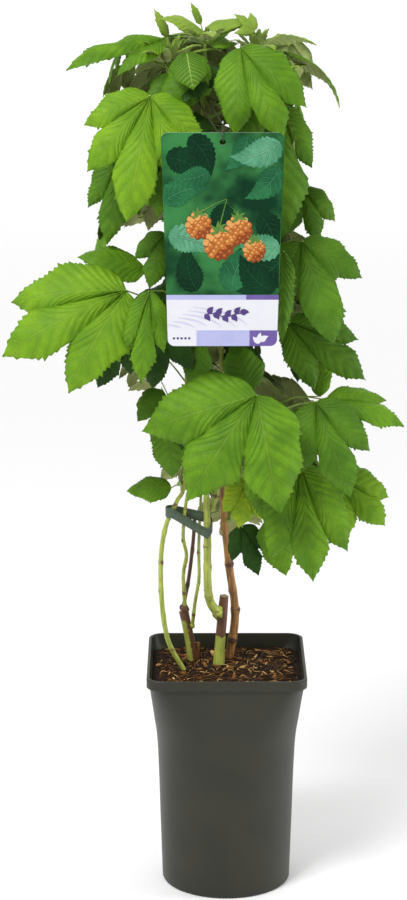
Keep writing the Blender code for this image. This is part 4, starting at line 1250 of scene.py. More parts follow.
@dataclass(frozen=True)
class FineBlade:
    """The fine surface of one leaf: pleated between its side veins and toothed along its edges."""

    leaf: Leaf
    detail: BladeDetail
    waver: float
    vein_lean: float = 0.27
    pleat: float = 0.015
    groove: float = 0.006
    tooth: float = 0.03
    wave: float = 0.02
    waves: float = 1.4
    droop: float = 0.2
    curl: float = 0.55
    curl_from: float = 0.72
    lobe: float = 0.07
    lobes: float = 2.6
    tuck: float = 0.03
    fade: float = 0.22
    fullest: float = 1.5
    pleated_from: float = 0.15
    groove_reach: float = 0.1
    uneven: tuple = (0.9, 1.3)
    tooth_out: float = 0.75
    tooth_on: float = 0.65

    def mesh(self) -> Mesh:
        """Builds the leaf's surface, its upper side out, with its map of midrib and veins."""
        bm = bmesh.new()
        layer = bm.loops.layers.uv.new("surface")
        bm.verts.layers.float.new("mark")
        leaflets = leaflets_of(self.leaf)
        notches = notches_of(self.leaf, leaflets)
        for index, leaflet in enumerate(leaflets):
            corners = {1: notches[index - 1] if index else None,
                       -1: notches[index] if index < len(notches) else None}
            self.add_leaflet(bm, layer, leaflet, corners, index == len(leaflets) // 2)
        bmesh.ops.remove_doubles(bm, verts=bm.verts, dist=0.00002)
        return bm

    def add_leaflet(self, bm: Mesh, layer: bmesh.types.BMLayerItem, leaflet: Leaflet,
                    corners: dict[int, Optional[Vector]], is_end: bool) -> None:
        """Adds one leaflet as a grid that is bent to its shape.

        Args:
            bm: the leaf's mesh.
            layer: its map.
            leaflet: the leaflet.
            corners: for each side the notch that it shares with its neighbour, if it has one.
            is_end: whether it is the end leaflet.
        """
        detail = self.detail
        grid = bmesh.ops.create_grid(bm, x_segments=detail.columns, y_segments=detail.rows, size=1.0)["verts"]
        place = {vert: (math.sin(vert.co.x * math.pi / 2), (vert.co.y + 1) / 2) for vert in grid}
        faces = {face for vert in grid for face in vert.link_faces}
        for face in faces:
            for loop in face.loops:
                side, row = place[loop.vert]
                loop[layer].uv = (0.5 + 0.5 * side, row * (detail.veins + 1) / MOST_VEINS)
        for vert, (side, row) in place.items():
            vert.co = self.point(leaflet, corners, is_end, row, side)
        for face in faces:
            face.normal_update()
        if sum(face.normal.dot(leaflet.up) for face in faces) < 0:
            bmesh.ops.reverse_faces(bm, faces=list(faces))

    def edge(self, leaflet: Leaflet, corner: Optional[Vector], t: float, side: int) -> tuple[Vector, float]:
        """A point of the leaflet's edge, and how free it is there of the leaflet beside it (0 to 1)."""
        fuller = full_outline(t) / max(outline(t), 0.001)
        plain = leaflet.point(t, 0).lerp(leaflet.point(t, side), min(fuller, self.fullest))
        if corner is None:
            return plain, ease(t / 0.1)
        notch = self.leaf.notch
        if t <= notch:
            return leaflet.base.lerp(corner, t / notch), 0.0
        free = ease((t - notch) / self.fade)
        return plain + (1 - free) * (corner - leaflet.point(notch, side)), free

    def point(self, leaflet: Leaflet, corners: dict[int, Optional[Vector]], is_end: bool,
              row: float, side: float) -> Vector:
        """A point of the blade.

        Args:
            leaflet: the leaflet.
            corners: for each side the notch that it shares with its neighbour, if it has one.
            is_end: whether it is the end leaflet.
            row: which line of side veins it lies on, from the base (0) to the tip (1).
            side: how far out it lies, from -1 to 1.

        Returns:
            The point.
        """
        reach = abs(side)
        way = 1 if side > 0 else -1
        length = (leaflet.tip - leaflet.base).length
        inner = row - self.vein_lean * math.sin(math.pi * row)
        t = inner + (row - inner) * reach ** 0.9
        rib = leaflet.point(t, 0)
        edge, free = self.edge(leaflet, corners[way], t, way)
        half = leaflet.half_width * full_outline(t)
        phase = row * (self.detail.veins + 1)
        swell = abs(math.sin(math.pi * phase)) ** 0.8 * min(1.0, reach / self.pleated_from)
        swell *= 1 - (1 - 0.6 * free) * reach ** 5
        narrow = min(1.0, half / (0.3 * leaflet.half_width))
        lift = EDGE_DROP * half * (reach - reach * reach)
        lift += self.pleat * self.leaf.pleat * length * swell * narrow
        lift -= self.groove * length * math.exp(-(reach / self.groove_reach) ** 2) * narrow
        wave = math.sin(2 * math.pi * (self.waves * row + self.waver) + side)
        lift += self.wave * length * wave * reach ** 2 * free
        lift -= self.droop * half * reach ** 2 * free + self.curl * length * max(0.0, t - self.curl_from) ** 2
        if corners[way] is not None:
            lift += self.tuck * length * free * (1 - row) * reach ** 2 * (1 if is_end else -1)
        out = (edge - rib).normalized() if half > 1e-6 else Vector()
        lobe = math.sin(2 * math.pi * (self.lobes * row + self.waver + 0.4 * way)) * reach ** 3
        point = rib.lerp(edge, reach) + lift * leaflet.up + self.lobe * half * free * lobe * out
        if reach > 0.999:
            step = round(phase * self.detail.rows_per_vein)
            usual, swing = self.uneven
            uneven = max(0.2, usual + swing * ripple(Vector((step, way, 31 * self.waver)), 1.7))
            depth = self.tooth * length * self.detail.teeth[step % self.detail.rows_per_vein]
            depth *= free * min(1.0, 5 * (1 - row)) * uneven
            along = (leaflet.tip - leaflet.base).normalized()
            point += depth * (self.tooth_out * out + self.tooth_on * along)
        return point


class Foliage:
    """The leaves and side shoots: one leaf piece and one twig piece for each zone of the crown."""

    # The upper sides' colours: the first four are lit and shaded copies of one green, painted light and
    # shade; young, yellowing and pleated are the leaves' own colours.
    tops = {
        Tint.SUNLIT: LeafFinish("leaf_sunlit", (0.19, 0.36, 0.013), (0.095, 0.23, 0.009), (0.32, 0.45, 0.06)),
        Tint.BRIGHT: LeafFinish("leaf_bright", (0.135, 0.29, 0.011), (0.062, 0.165, 0.007),
                                (0.26, 0.39, 0.05)),
        Tint.MIDDLE: LeafFinish("leaf_middle", (0.095, 0.22, 0.011), (0.045, 0.125, 0.007),
                                (0.18, 0.3, 0.04)),
        Tint.DEEP: LeafFinish("leaf_deep", (0.024, 0.078, 0.006), (0.011, 0.042, 0.004), (0.07, 0.16, 0.03)),
        Tint.YOUNG: LeafFinish("leaf_young", (0.26, 0.38, 0.05), (0.15, 0.27, 0.025), (0.48, 0.56, 0.16)),
        Tint.YELLOWING: LeafFinish("leaf_yellowing", (0.36, 0.48, 0.02), (0.12, 0.26, 0.01),
                                   (0.42, 0.5, 0.06), fold_shade_share=0.4),
        Tint.PLEATED: LeafFinish("leaf_pleated", (0.085, 0.21, 0.01), (0.055, 0.15, 0.008),
                                 (0.36, 0.48, 0.11), 0.75, vein_width=0.12, fold_shade_share=0.3),
    }
    # The undersides are pale, as a raspberry leaf's are, and lightened further as painted light for the light
    # that shines through the leaf.
    underside = LeafFinish("leaf_underside", (0.49, 0.53, 0.23), (0.37, 0.43, 0.16), (0.6, 0.64, 0.34),
                           0.45, 0.65, 0.0007)
    young_underside = LeafFinish("young_underside", (0.52, 0.6, 0.24), (0.42, 0.52, 0.17),
                                 (0.62, 0.68, 0.34), 0.45, 0.65, 0.0006)
    stalk = BarkFinish("leaf_stalk", (0.26, 0.42, 0.06), (0.2, 0.33, 0.05), (0.2, 0.1, 0.04), 0.45)
    thickness = 0.00035
    young_from = 0.785
    young_length = 0.06
    young_share = 0.7
    # Where painted light and shade go: large and far-out leaves get the lit greens, small low ones near the
    # crown's middle the darkest, shaded green.
    grown_from = 0.085
    sunlit_share = 0.4
    shaded_within = 0.045
    painted_shade_below = 0.76
    painted_shade_length = 0.065
    painted_shade_share = 0.75
    lit_beyond = 0.065
    bright_share = 0.3

    def __init__(self, shoots: dict[str, Shoot]) -> None:
        """Builds each zone's two pieces from the grown shoots."""
        top_materials = [self.tops[tint].material() for tint in Tint]
        under, young_under = self.underside.material(), self.young_underside.material()
        under_materials = [young_under if tint is Tint.YOUNG else under for tint in Tint]
        stalk = self.stalk.material()
        for zone in Zone:
            grown = [shoot for shoot in shoots.values() if shoot.mass.zone is zone]
            nodes = [shoot.mass.name for shoot in grown]
            leaves = Piece(f"leaves_{zone.value}", [*top_materials, *under_materials])
            twigs = Piece(f"twigs_{zone.value}", [stalk])
            for shoot in grown:
                self.dress(shoot, leaves, twigs)
            surface = leaves.finish("leaves", nodes, 180.0)
            wall = surface.modifiers.new("thickness", "SOLIDIFY")
            wall.thickness = self.thickness
            wall.offset = -1.0
            wall.material_offset = len(top_materials)
            twigs.finish("green_bark", nodes)

    def dress(self, shoot: Shoot, leaves: Piece, twigs: Piece) -> None:
        """Adds one shoot's stem, stalks and blades to its zone's pieces."""
        chance = random.Random(shoot.mass.name)
        stem = curve_through([shoot.stem[0], *shoot.stem[2:]], 3) if len(shoot.stem) > 3 else shoot.stem
        twigs.take(self.tube(stem, STEM_RADIUS, 0.8 * STEM_RADIUS, 7))
        for root, leaf in shoot.leaves:
            path = curve_through(stalk_path(root, Vector(leaf.hub)), 5)
            radius = STALK_RADIUS * min(1.0, 0.45 + leaf.length / 0.14)
            twigs.take(self.tube(path, radius, 0.6 * radius, 6))
            tint = leaf.tint or self.tint_of(leaf, chance)
            leaves.take(FineBlade(leaf, detail_of(leaf), chance.random()).mesh(), tint.value)

    def tube(self, path: Sequence[Vector], foot: float, tip: float, sides: int) -> Mesh:
        """A tapering stalk, a little swollen where it starts."""
        radii = tapered(foot, tip, len(path))
        radii[0] *= 1.25
        return skin(rings_along(path, radii, sides))

    def tint_of(self, leaf: Leaf, chance: random.Random) -> Tint:
        """Deals a leaf its colour: young at the top, painted light where it is large and far out, painted
        shade inside.
        """
        draw = chance.random()
        hub = Vector(leaf.hub)
        if hub.z > self.young_from and leaf.length < self.young_length:
            return Tint.YOUNG if draw < self.young_share else Tint.BRIGHT
        if leaf.length > self.grown_from:
            return Tint.SUNLIT if draw < self.sunlit_share else Tint.BRIGHT
        depth = math.hypot(hub.x - CROWN_MIDDLE.x, hub.y - CROWN_MIDDLE.y)
        if depth < self.shaded_within:
            low_and_small = leaf.length < self.painted_shade_length and hub.z < self.painted_shade_below
            return Tint.DEEP if low_and_small and draw < self.painted_shade_share else Tint.MIDDLE
        if depth > self.lit_beyond:
            return (Tint.SUNLIT, Tint.BRIGHT, Tint.MIDDLE)[int(3 * draw)]
        return Tint.BRIGHT if draw < self.bright_share else Tint.MIDDLE


@dataclass(frozen=True)
class Knot:
    """A node of a cane: how far along it lies, the bearing of its bud, and how strong it is."""

    along: float
    bearing: float
    strength: float


@dataclass
class Canes:
    """The canes, shoots and cut stubs, with their nodes, prickles and cut tops."""

    sides: int = 14
    steps: int = 16
    knot_gap: tuple = (0.019, 0.038)
    knot_reach: float = 0.0026
    swell: float = 0.34
    brown_swell: float = 0.5
    ridge: float = 0.05
    brown_ridge: float = 0.12
    mark: float = 0.88
    brown_mark: float = 1.2
    prickle_length: float = 0.0013
    prickle_gap: float = 0.0042
    finishes = {
        Bark.GREEN: BarkFinish("bark_green", (0.4, 0.46, 0.07), (0.2, 0.29, 0.032), (0.12, 0.046, 0.018)),
        Bark.BROWN: BarkFinish("bark_brown", (0.46, 0.225, 0.06), (0.15, 0.06, 0.018), (0.075, 0.03, 0.012),
                               0.6, 0.8, 0.0007),
        Bark.DARK: BarkFinish("bark_dark", (0.075, 0.028, 0.017), (0.14, 0.07, 0.03), (0.03, 0.012, 0.008),
                              0.6, 0.6, 0.0006),
    }
    pith = PlainFinish("pith", (0.5, 0.4, 0.2), (0.2, 0.12, 0.05), 900.0, 0.8, 0.9)

    def build(self, canes: dict[str, Cane]) -> None:
        """Builds and dresses every limb as a piece of its own."""
        barks = {bark: self.finishes[bark].material() for bark in Bark}
        pith = self.pith.material()
        for cane in canes.values():
            limb = cane.limb
            piece = Piece(f"{limb.name}_bark", [barks[limb.bark], pith])
            self.add_wood(piece, cane)
            self.add_collar(piece, limb)
            self.add_prickles(piece, cane)
            slot = "brown_bark" if limb.bark is not Bark.GREEN else "green_bark"
            piece.finish(slot, [limb.name], 60)

    def knots_of(self, limb: Limb) -> list[Knot]:
        """Deals a limb its nodes, unevenly apart and each a golden angle round from the last."""
        chance = random.Random(limb.name)
        length = sum((Vector(b) - Vector(a)).length for a, b in zip(limb.path, limb.path[1:]))
        found: list[Knot] = []
        along = chance.uniform(0.01, 0.024)
        while along < length - 0.008:
            found.append(Knot(along, GOLDEN_ANGLE * len(found) - 90, chance.uniform(0.45, 1.0)))
            along += chance.uniform(*self.knot_gap)
        return found

    def nearness(self, knots: Sequence[Knot], walked: float, out: Vector, sharpness: float) -> float:
        """How strongly the nodes show at a point of the bark.

        Args:
            knots: the limb's nodes.
            walked: how far along the limb the point lies.
            out: the direction from the limb's middle to the point.
            sharpness: how much more they show on the bud's side.

        Returns:
            About 0 to 1.
        """
        total = 0.0
        for knot in knots:
            away = (walked - knot.along) / self.knot_reach
            side = 0.5 + 0.5 * out.dot(unit(knot.bearing))
            total += knot.strength * math.exp(-away * away) * (1 - sharpness + sharpness * side)
        return total

    def darkness(self, limb: Limb, share: float, out: Vector) -> float:
        """How dark the bark is for the limb's own dark end or side, with a ragged border."""
        rough = 0.06 * ripple(Vector((out.x, out.y, share * 9)), 0.35)
        top = ease((share + rough - limb.dark_from) / 0.06 + 0.5)
        if limb.dark_side is None:
            return top
        return max(top, ease(1.6 * out.dot(unit(limb.dark_side)) + 4 * rough))

    def add_wood(self, piece: Piece, cane: Cane) -> None:
        """Adds the limb's body: relief along it, swollen nodes, and a pale cut top on a stub."""
        limb = cane.limb
        path = curve_through(limb.path, self.steps)
        rings = rings_along(path, tapered(limb.foot, limb.tip, len(path)), self.sides, level_foot=True)
        knots = [] if limb.cut else self.knots_of(limb)
        woody = limb.bark is not Bark.GREEN
        ridge, swell = (self.brown_ridge, self.brown_swell) if woody or limb.cut else (self.ridge, self.swell)
        walks = [0.0]
        for low, high in zip(path, path[1:]):
            walks.append(walks[-1] + (high - low).length)
        for index, ring in enumerate(rings):
            for turn, point in enumerate(ring):
                out = point - path[index]
                way = out.normalized()
                rough = ripple(Vector((350 * out.x + 999 * limb.foot, 350 * out.y, 30 * walks[index])), 1.0)
                bulge = swell * self.nearness(knots, walks[index], way, 0.7) + ridge * rough
                ring[turn] = path[index] + out * (1 + bulge)
        bm = skin(rings)
        layer = bm.verts.layers.float.new("mark")
        strength = self.brown_mark if woody else self.mark
        for vert in bm.verts:
            nearest = min(range(len(path)), key=lambda index: (path[index] - vert.co).length_squared)
            way = (vert.co - path[nearest]).normalized()
            mark = strength * self.nearness(knots, walks[nearest] - 0.0008, way, 0.8)
            vert[layer] = min(1.0, max(mark, self.darkness(limb, nearest / (len(path) - 1), way)))
        if limb.cut:
            self.cut_top(bm)
        piece.take(bm)

    def cut_top(self, bm: Mesh) -> None:
        """Gives a stub's top face a pale pith inside a ragged rim of bark."""
        caps = [face for face in bm.faces if len(face.verts) > 4]
        top = max(caps, key=lambda face: face.calc_center_median().z)
        rim = list(top.verts)
        bmesh.ops.inset_individual(bm, faces=[top], thickness=0.0008, depth=0.0)
        top.material_index = 1
        bmesh.ops.translate(bm, verts=top.verts, vec=(0, 0, -0.001))
        for vert in rim:
            vert.co.z += 0.0014 * ripple(vert.co, 0.0021) - 0.0008

    def add_collar(self, piece: Piece, limb: Limb) -> None:
        """Adds the swollen foot of a side shoot, which closes on the wood that it grows from."""
        if not limb.collar:
            return
        bm = bmesh.new()
        layer = bm.verts.layers.float.new("mark")
        place = Matrix.Translation(limb.path[0]) @ Matrix.Diagonal((1.0, 1.0, 1.25, 1.0))
        bmesh.ops.create_icosphere(bm, subdivisions=3, radius=limb.collar, matrix=place)
        for vert in bm.verts:
            out = vert.co - Vector(limb.path[0])
            vert.co += 0.3 * ripple(vert.co, 0.0035) * out
            vert[layer] = limb.collar_mark + 0.5 * ripple(vert.co, 0.0026)
        piece.take(bm)

    def add_prickles(self, piece: Piece, cane: Cane) -> None:
        """Adds the small prickles of a green cane, each a slim cone that leans down a little."""
        limb = cane.limb
        if limb.bark is not Bark.GREEN or limb.cut:
            return
        chance = random.Random(limb.name)
        low, high = limb.path[0][2] + 0.01, limb.path[-1][2] - 0.02
        for step in range(int((high - low) / self.prickle_gap)):
            centre, radius, _ = cane.at(low + step * self.prickle_gap + chance.uniform(0, self.prickle_gap))
            out = (unit(chance.uniform(0, 360)) - 0.35 * UP).normalized()
            length = self.prickle_length * chance.uniform(0.5, 1.2)
            place = Matrix.Translation(centre + (radius + 0.42 * length) * out)
            turn = UP.rotation_difference(out).to_matrix().to_4x4()
            bm = bmesh.new()
            layer = bm.verts.layers.float.new("mark")
            bmesh.ops.create_cone(bm, cap_ends=True, segments=5, radius1=0.3 * length, radius2=0.00002,
                                  depth=length, matrix=place @ turn)
            for vert in bm.verts:
                vert[layer] = 0.45
            piece.take(bm)


def rounded_square(half: float, corner: float, height: float, steps: int) -> Ring:
    """A square with round corners, anticlockwise, whose straight sides have their points evenly apart.

    Args:
        half: half its width.
        corner: its corners' radius.
        height: the height of all its points.
        steps: how many steps a corner and a side have each.

    Returns:
        The ring's points.
    """
    ring = []
    inner = half - corner
    for quarter in range(4):
        turn = Matrix.Rotation(quarter * math.pi / 2, 3, "Z")
        for step in range(steps):
            ring.append(turn @ (Vector((inner, inner, height)) + corner * unit(90 * step / steps)))
        start, end = Vector((inner, half, height)), Vector((-inner, half, height))
        ring += [turn @ start.lerp(end, step / steps) for step in range(steps)]
    return ring


@dataclass
class Pot:
    """The plastic pot: a square rim with a turned-down lip on a body that is round at its foot."""

    height: float = 0.222
    rim_half: float = 0.075
    rim_corner: float = 0.014
    rim_band: float = 0.0095
    rim_wall: float = 0.0028
    foot_radius: float = 0.0615
    lower_half: float = 0.0634
    waist_half: float = 0.0646
    waist_corner: float = 0.0625
    between: tuple = (0.0662, 0.0575)
    shoulder: tuple = (0.0692, 0.045)
    upper: tuple = (0.0714, 0.027)
    neck_half: float = 0.0725
    wall: float = 0.0018
    floor: float = 0.0025
    foot_edge: float = 0.0022
    foot_rim: float = 0.006
    lip_edge: float = 0.0008
    lip_reach: float = 0.0012
    rim_edge: float = 0.0014
    inner_edge: float = 0.0006
    steps: int = 12
    lip_steps: int = 6
    finish: PlainFinish = PlainFinish("pot_plastic", (0.0215, 0.0225, 0.014), (0.028, 0.028, 0.017),
                                      22.0, 0.8, 0.44, 1500.0, 0.00005, 0.3, 0.32)

    def sections(self) -> list[tuple[float, float, float]]:
        """The outside of the body from the foot up to the rim, as height, half width and corner radius."""
        neck = self.height - self.rim_band
        given = [
            (0.002, self.foot_radius, self.foot_radius - GAP),
            (0.06, self.lower_half, self.lower_half - GAP),
            (0.105, self.waist_half, self.waist_corner),
            (0.145, *self.between),
            (0.175, *self.shoulder),
            (0.2, *self.upper),
            (neck, self.neck_half, self.rim_corner),
        ]
        smooth = curve_through([Vector(section) for section in given], 6)
        return [tuple(section) for section in smooth]

    def ring(self, half: float, corner: float, height: float) -> Ring:
        """One ring of the pot."""
        return rounded_square(half, min(corner, half - GAP), height, self.steps)

    def edge(self, half: float, corner: float, height: float, size: float,
             turns: Iterable[float]) -> list[Ring]:
        """Rings round a rounded edge.

        Args:
            half: the half width beyond the edge.
            corner: the corners' radius.
            height: the height of its flat side.
            size: its radius, negative where the flat side is on top.
            turns: how far each ring has turned from the flat side.

        Returns:
            The rings.
        """
        reach = abs(size)
        return [self.ring(half - reach * (1 - math.sin(turn)), corner, height + size * (1 - math.cos(turn)))
                for turn in turns]

    def build(self) -> None:
        """Builds the pot as one closed skin."""
        foot, corner, rim = self.foot_radius, self.rim_corner, self.rim_half
        under = self.height - self.rim_band
        turns = [math.pi / 2 * step / self.lip_steps for step in range(self.lip_steps + 1)]
        inner = rim - self.rim_wall
        rings = [self.ring(foot - self.foot_rim, foot, 0.0), self.ring(foot - self.foot_edge, foot, 0.0)]
        rings += self.edge(foot, foot, 0.0, self.foot_edge, (0.4, 0.8, 1.2))
        rings += [self.ring(half, corner, height) for height, half, corner in self.sections()]
        rings.append(self.ring(rim - self.lip_reach, corner, under - GAP))
        rings += self.edge(rim, corner, under, self.lip_edge, turns)
        rings += self.edge(rim, corner, self.height, -self.rim_edge, reversed(turns))
        rings.append(self.ring(inner + self.inner_edge, corner - 0.001, self.height))
        rings.append(self.ring(inner, corner - 0.0012, self.height - self.inner_edge))
        for height, half, corner in reversed(self.sections()):
            rings.append(self.ring(half - self.wall, corner - self.wall, max(height, self.floor)))
        piece = Piece("pot_shell", [self.finish.material()])
        piece.take(skin(rings))
        piece.finish("pot_plastic", ["pot"], 35)


@dataclass
class Compost:
    """The compost's uneven top, with bark chips and fibres lying in it."""

    pot: Pot
    top: float = 0.2085
    corner: float = 0.017
    skirt: float = 0.004
    lump: float = 0.003
    cells: int = 90
    chips: int = 420
    fibres: int = 760
    chip_shares: tuple = (0.62, 0.28, 0.1)
    fibre_shares: tuple = (0.5, 0.36, 0.14)
    soil: PlainFinish = PlainFinish("compost", (0.008, 0.0045, 0.0025), (0.034, 0.016, 0.007),
                                    330.0, 1.0, 0.95, 1400.0, 0.0008, 0.9, 0.2)
    chip_finishes = tuple(
        PlainFinish(name, color, patch, 500.0, amount, roughness, 1200.0, 0.0003, 0.6, 0.15)
        for name, color, patch, amount, roughness in (
            ("chip_dark", (0.022, 0.01, 0.004), (0.056, 0.026, 0.009), 0.8, 0.9),
            ("chip_tan", (0.25, 0.11, 0.028), (0.1, 0.042, 0.011), 0.8, 0.8),
            ("chip_pale", (0.64, 0.4, 0.15), (0.34, 0.18, 0.055), 0.7, 0.8),
        )
    )

    @property
    def half(self) -> float:
        """How far the compost reaches from the middle to each side."""
        return self.pot.neck_half - self.pot.wall - 0.0008

    def surface(self, x: float, y: float) -> float:
        """The height of the compost's top."""
        point = Vector((x, y, 0.0))
        rise = 0.6 * ripple(point, 0.022) + 0.3 * ripple(point, 0.007) + 0.18 * ripple(point, 0.0028)
        return self.top + self.lump * rise

    def inside(self, x: float, y: float, margin: float) -> bool:
        """Whether a place is inside the pot's rounded square, by at least a margin."""
        corner = self.corner
        inner = self.half - corner
        dx, dy = max(abs(x) - inner, 0.0), max(abs(y) - inner, 0.0)
        return math.hypot(dx, dy) < corner - margin

    def build(self) -> None:
        """Builds the compost as one piece."""
        materials = [finish.material() for finish in (self.soil, *self.chip_finishes)]
        piece = Piece("compost", materials)
        piece.take(self.top_mesh(), 0)
        chance = random.Random(SEED)
        for _ in range(self.chips):
            self.add_chip(piece, chance)
        for _ in range(self.fibres):
            self.add_fibre(piece, chance)
        self.add_old_stub(piece)
        piece.finish("compost", ["soil"], 40)

    def top_mesh(self) -> Mesh:
        """The top as a grid, trimmed to the pot and turned down at its edge."""
        bm = bmesh.new()
        bmesh.ops.create_grid(bm, x_segments=self.cells, y_segments=self.cells, size=self.half)
        outside = [v for v in bm.verts if not self.inside(v.co.x, v.co.y, 0.0)]
        bmesh.ops.delete(bm, geom=outside, context="VERTS")
        for vert in bm.verts:
            vert.co.z = self.surface(vert.co.x, vert.co.y)
        rim = [edge for edge in bm.edges if edge.is_boundary]
        wall = bmesh.ops.extrude_edge_only(bm, edges=rim)["geom"]
        for vert in wall:
            if isinstance(vert, bmesh.types.BMVert):
                vert.co = Vector((0.985 * vert.co.x, 0.985 * vert.co.y, vert.co.z - self.skirt))
        bmesh.ops.recalc_face_normals(bm, faces=bm.faces)
        if sum(face.normal.z for face in bm.faces) < 0:
            bmesh.ops.reverse_faces(bm, faces=bm.faces)
        return bm

    def spot(self, chance: random.Random, margin: float) -> Vector:
        """A random place on the compost, away from the pot's wall."""
        while True:
            x, y = chance.uniform(-self.half, self.half), chance.uniform(-self.half, self.half)
            if self.inside(x, y, margin):
                return Vector((x, y, self.surface(x, y)))

    def add_chip(self, piece: Piece, chance: random.Random) -> None:
        """Adds a flat, uneven chip of bark that lies half sunk."""
        length = chance.choice((0.0025, 0.003, 0.004, 0.005, 0.008)) * chance.uniform(0.8, 1.25)
        place = self.spot(chance, min(0.5 * length, 0.006))
        bm = bmesh.new()
        bmesh.ops.create_cube(bm, size=1.0)
        bmesh.ops.bevel(bm, geom=bm.edges, offset=0.18, affect="EDGES", segments=1, profile=0.5, material=-1)
        size = Vector((length, length * chance.uniform(0.18, 0.45), length * chance.uniform(0.08, 0.2)))
        for vert in bm.verts:
            vert.co *= 1 + 0.35 * ripple(vert.co + place * 999, 0.7)
            vert.co = Vector(a * b for a, b in zip(vert.co, size))
        turn = Quaternion(UP, chance.uniform(0, 6.3)) @ Quaternion((0, 1, 0), chance.gauss(0, 0.35))
        matrix = Matrix.Translation(place + 0.0006 * UP) @ turn.to_matrix().to_4x4()
        bmesh.ops.transform(bm, matrix=matrix, verts=bm.verts)
        piece.take(bm, chance.choices((1, 2, 3), self.chip_shares)[0])

    def add_fibre(self, piece: Piece, chance: random.Random) -> None:
        """Adds a thin curved fibre of coir."""
        length = chance.uniform(0.004, 0.014)
        place = self.spot(chance, 0.007)
        way = unit(chance.uniform(0, 360))
        bend = way.cross(UP) * chance.uniform(-0.35, 0.35) * length
        rise = chance.uniform(0.0006, 0.0022) * UP
        points = (place - 0.5 * length * way, place + bend + rise, place + 0.5 * length * way + 0.4 * rise)
        path = curve_through(points, 3)
        radius = chance.uniform(0.00016, 0.0005)
        fibre = skin(rings_along(path, tapered(radius, 0.6 * radius, len(path)), 3))
        piece.take(fibre, chance.choices((1, 2, 3), self.fibre_shares)[0])

    def add_old_stub(self, piece: Piece) -> None:
        """Adds the short blunt stub of an old cane that stands in the compost."""
        path = curve_through(((-0.03, 0.037, 0.2), (-0.0285, 0.036, 0.214), (-0.0275, 0.036, 0.2245)), 6)
        rings = rings_along(path, tapered(0.0034, 0.0026, len(path)), 10)
        for ring, middle in zip(rings, path):
            ring[:] = [middle + (1 + 0.22 * ripple(point, 0.003)) * (point - middle) for point in ring]
        piece.take(skin(rings), 2)


@dataclass
class Tie:
    """The soft plastic strap round the left and the green cane, bevelled along its edges."""

    left_height: float = 0.366
    front_height: float = 0.3435
    back_height: float = 0.357
    width: float = 0.01
    thickness: float = 0.0009
    slack: float = 0.0028
    turn_steps: int = 18
    run_steps: int = 10
    finish: PlainFinish = PlainFinish("tie_strap", (0.052, 0.088, 0.05), (0.08, 0.11, 0.066), 160.0, 0.7,
                                      0.42)

    def half_turn(self, centre: Vector, reach: float, bearing: float, start: float, end: float) -> list:
        """Stations of the strap round the back of a cane, as places and outward directions."""
        found = []
        for step in range(self.turn_steps + 1):
            share = step / self.turn_steps
            out = unit(bearing + 180 * share)
            place = centre + reach * out
            place.z = start + share * (end - start)
            found.append((place, out))
        return found

    def run(self, start: Vector, end: Vector, bearing: float) -> list:
        """Stations of the strap between two places, without the places themselves."""
        shares = (step / self.run_steps for step in range(1, self.run_steps))
        return [(start.lerp(end, share), unit(bearing)) for share in shares]

    def section(self, middle: Vector, out: Vector) -> Ring:
        """The strap's cross-section: a flat band with rounded edges."""
        wall, rise = self.thickness / 2, self.width / 2
        shape = ((-1, -0.86), (0, -1), (1, -0.86), (1, 0), (1, 0.86), (0, 1), (-1, 0.86), (-1, 0))
        return [middle + a * wall * out + b * rise * UP for a, b in shape]

    def build(self, canes: dict[str, Cane]) -> None:
        """Builds the strap."""
        left, left_radius, _ = canes["left_cane"].at(self.left_height)
        right, right_radius, _ = canes["green_cane"].at(self.front_height)
        off = 2 * GAP + self.thickness / 2
        reach = left_radius + self.slack + off
        round_left = self.half_turn(left, reach, 90, self.left_height, self.left_height)
        round_right = self.half_turn(right, right_radius + off, -90, self.front_height, self.back_height)
        stations = round_left + self.run(round_left[-1][0], round_right[0][0], -90)
        stations += round_right + self.run(round_right[-1][0], round_left[0][0], 90)
        piece = Piece("tie_strap", [self.finish.material()])
        piece.take(skin([self.section(middle, out) for middle, out in stations], cyclic=True))
        piece.finish("strap", ["tie"], 40)


class Print(Enum):
    """The printed fields of the tag, in the order of their material slots."""

    CARD = 0
    PICTURE = 1
    STRIP = 2
    BLOCK = 3


def tag_gloss(name: str, color: Color, patch: Color) -> PlainFinish:
    """A plain colour under the card's gloss."""
    return PlainFinish(name, color, patch, 70.0, 0.6, 0.28, 500.0, 0.00002)


def plain_ink(name: str, color: Color, patch: Color, scale: float = 300.0,
              amount: float = 1.0) -> PlainFinish:
    """A printed colour."""
    return PlainFinish(name, color, patch, scale, amount, specular=0.08)


def leaf_ink(name: str, color: Color, patch: Color, vein: Color) -> LeafFinish:
    """A printed leaf's colours."""
    return LeafFinish(name, color, patch, vein, 0.5, 0.5, 0.00002, 0.09, 0.08, 0.9)


def face_front(bm: Mesh) -> None:
    """Turns the faces of a flat mesh to the front."""
    for face in bm.faces:
        face.normal_update()
        if face.normal.y > 0:
            face.normal_flip()


def upright(turn: float) -> Vector:
    """The direction in the card's plane that is turned by an angle from +X."""
    return Vector((math.cos(turn), 0.0, math.sin(turn)))


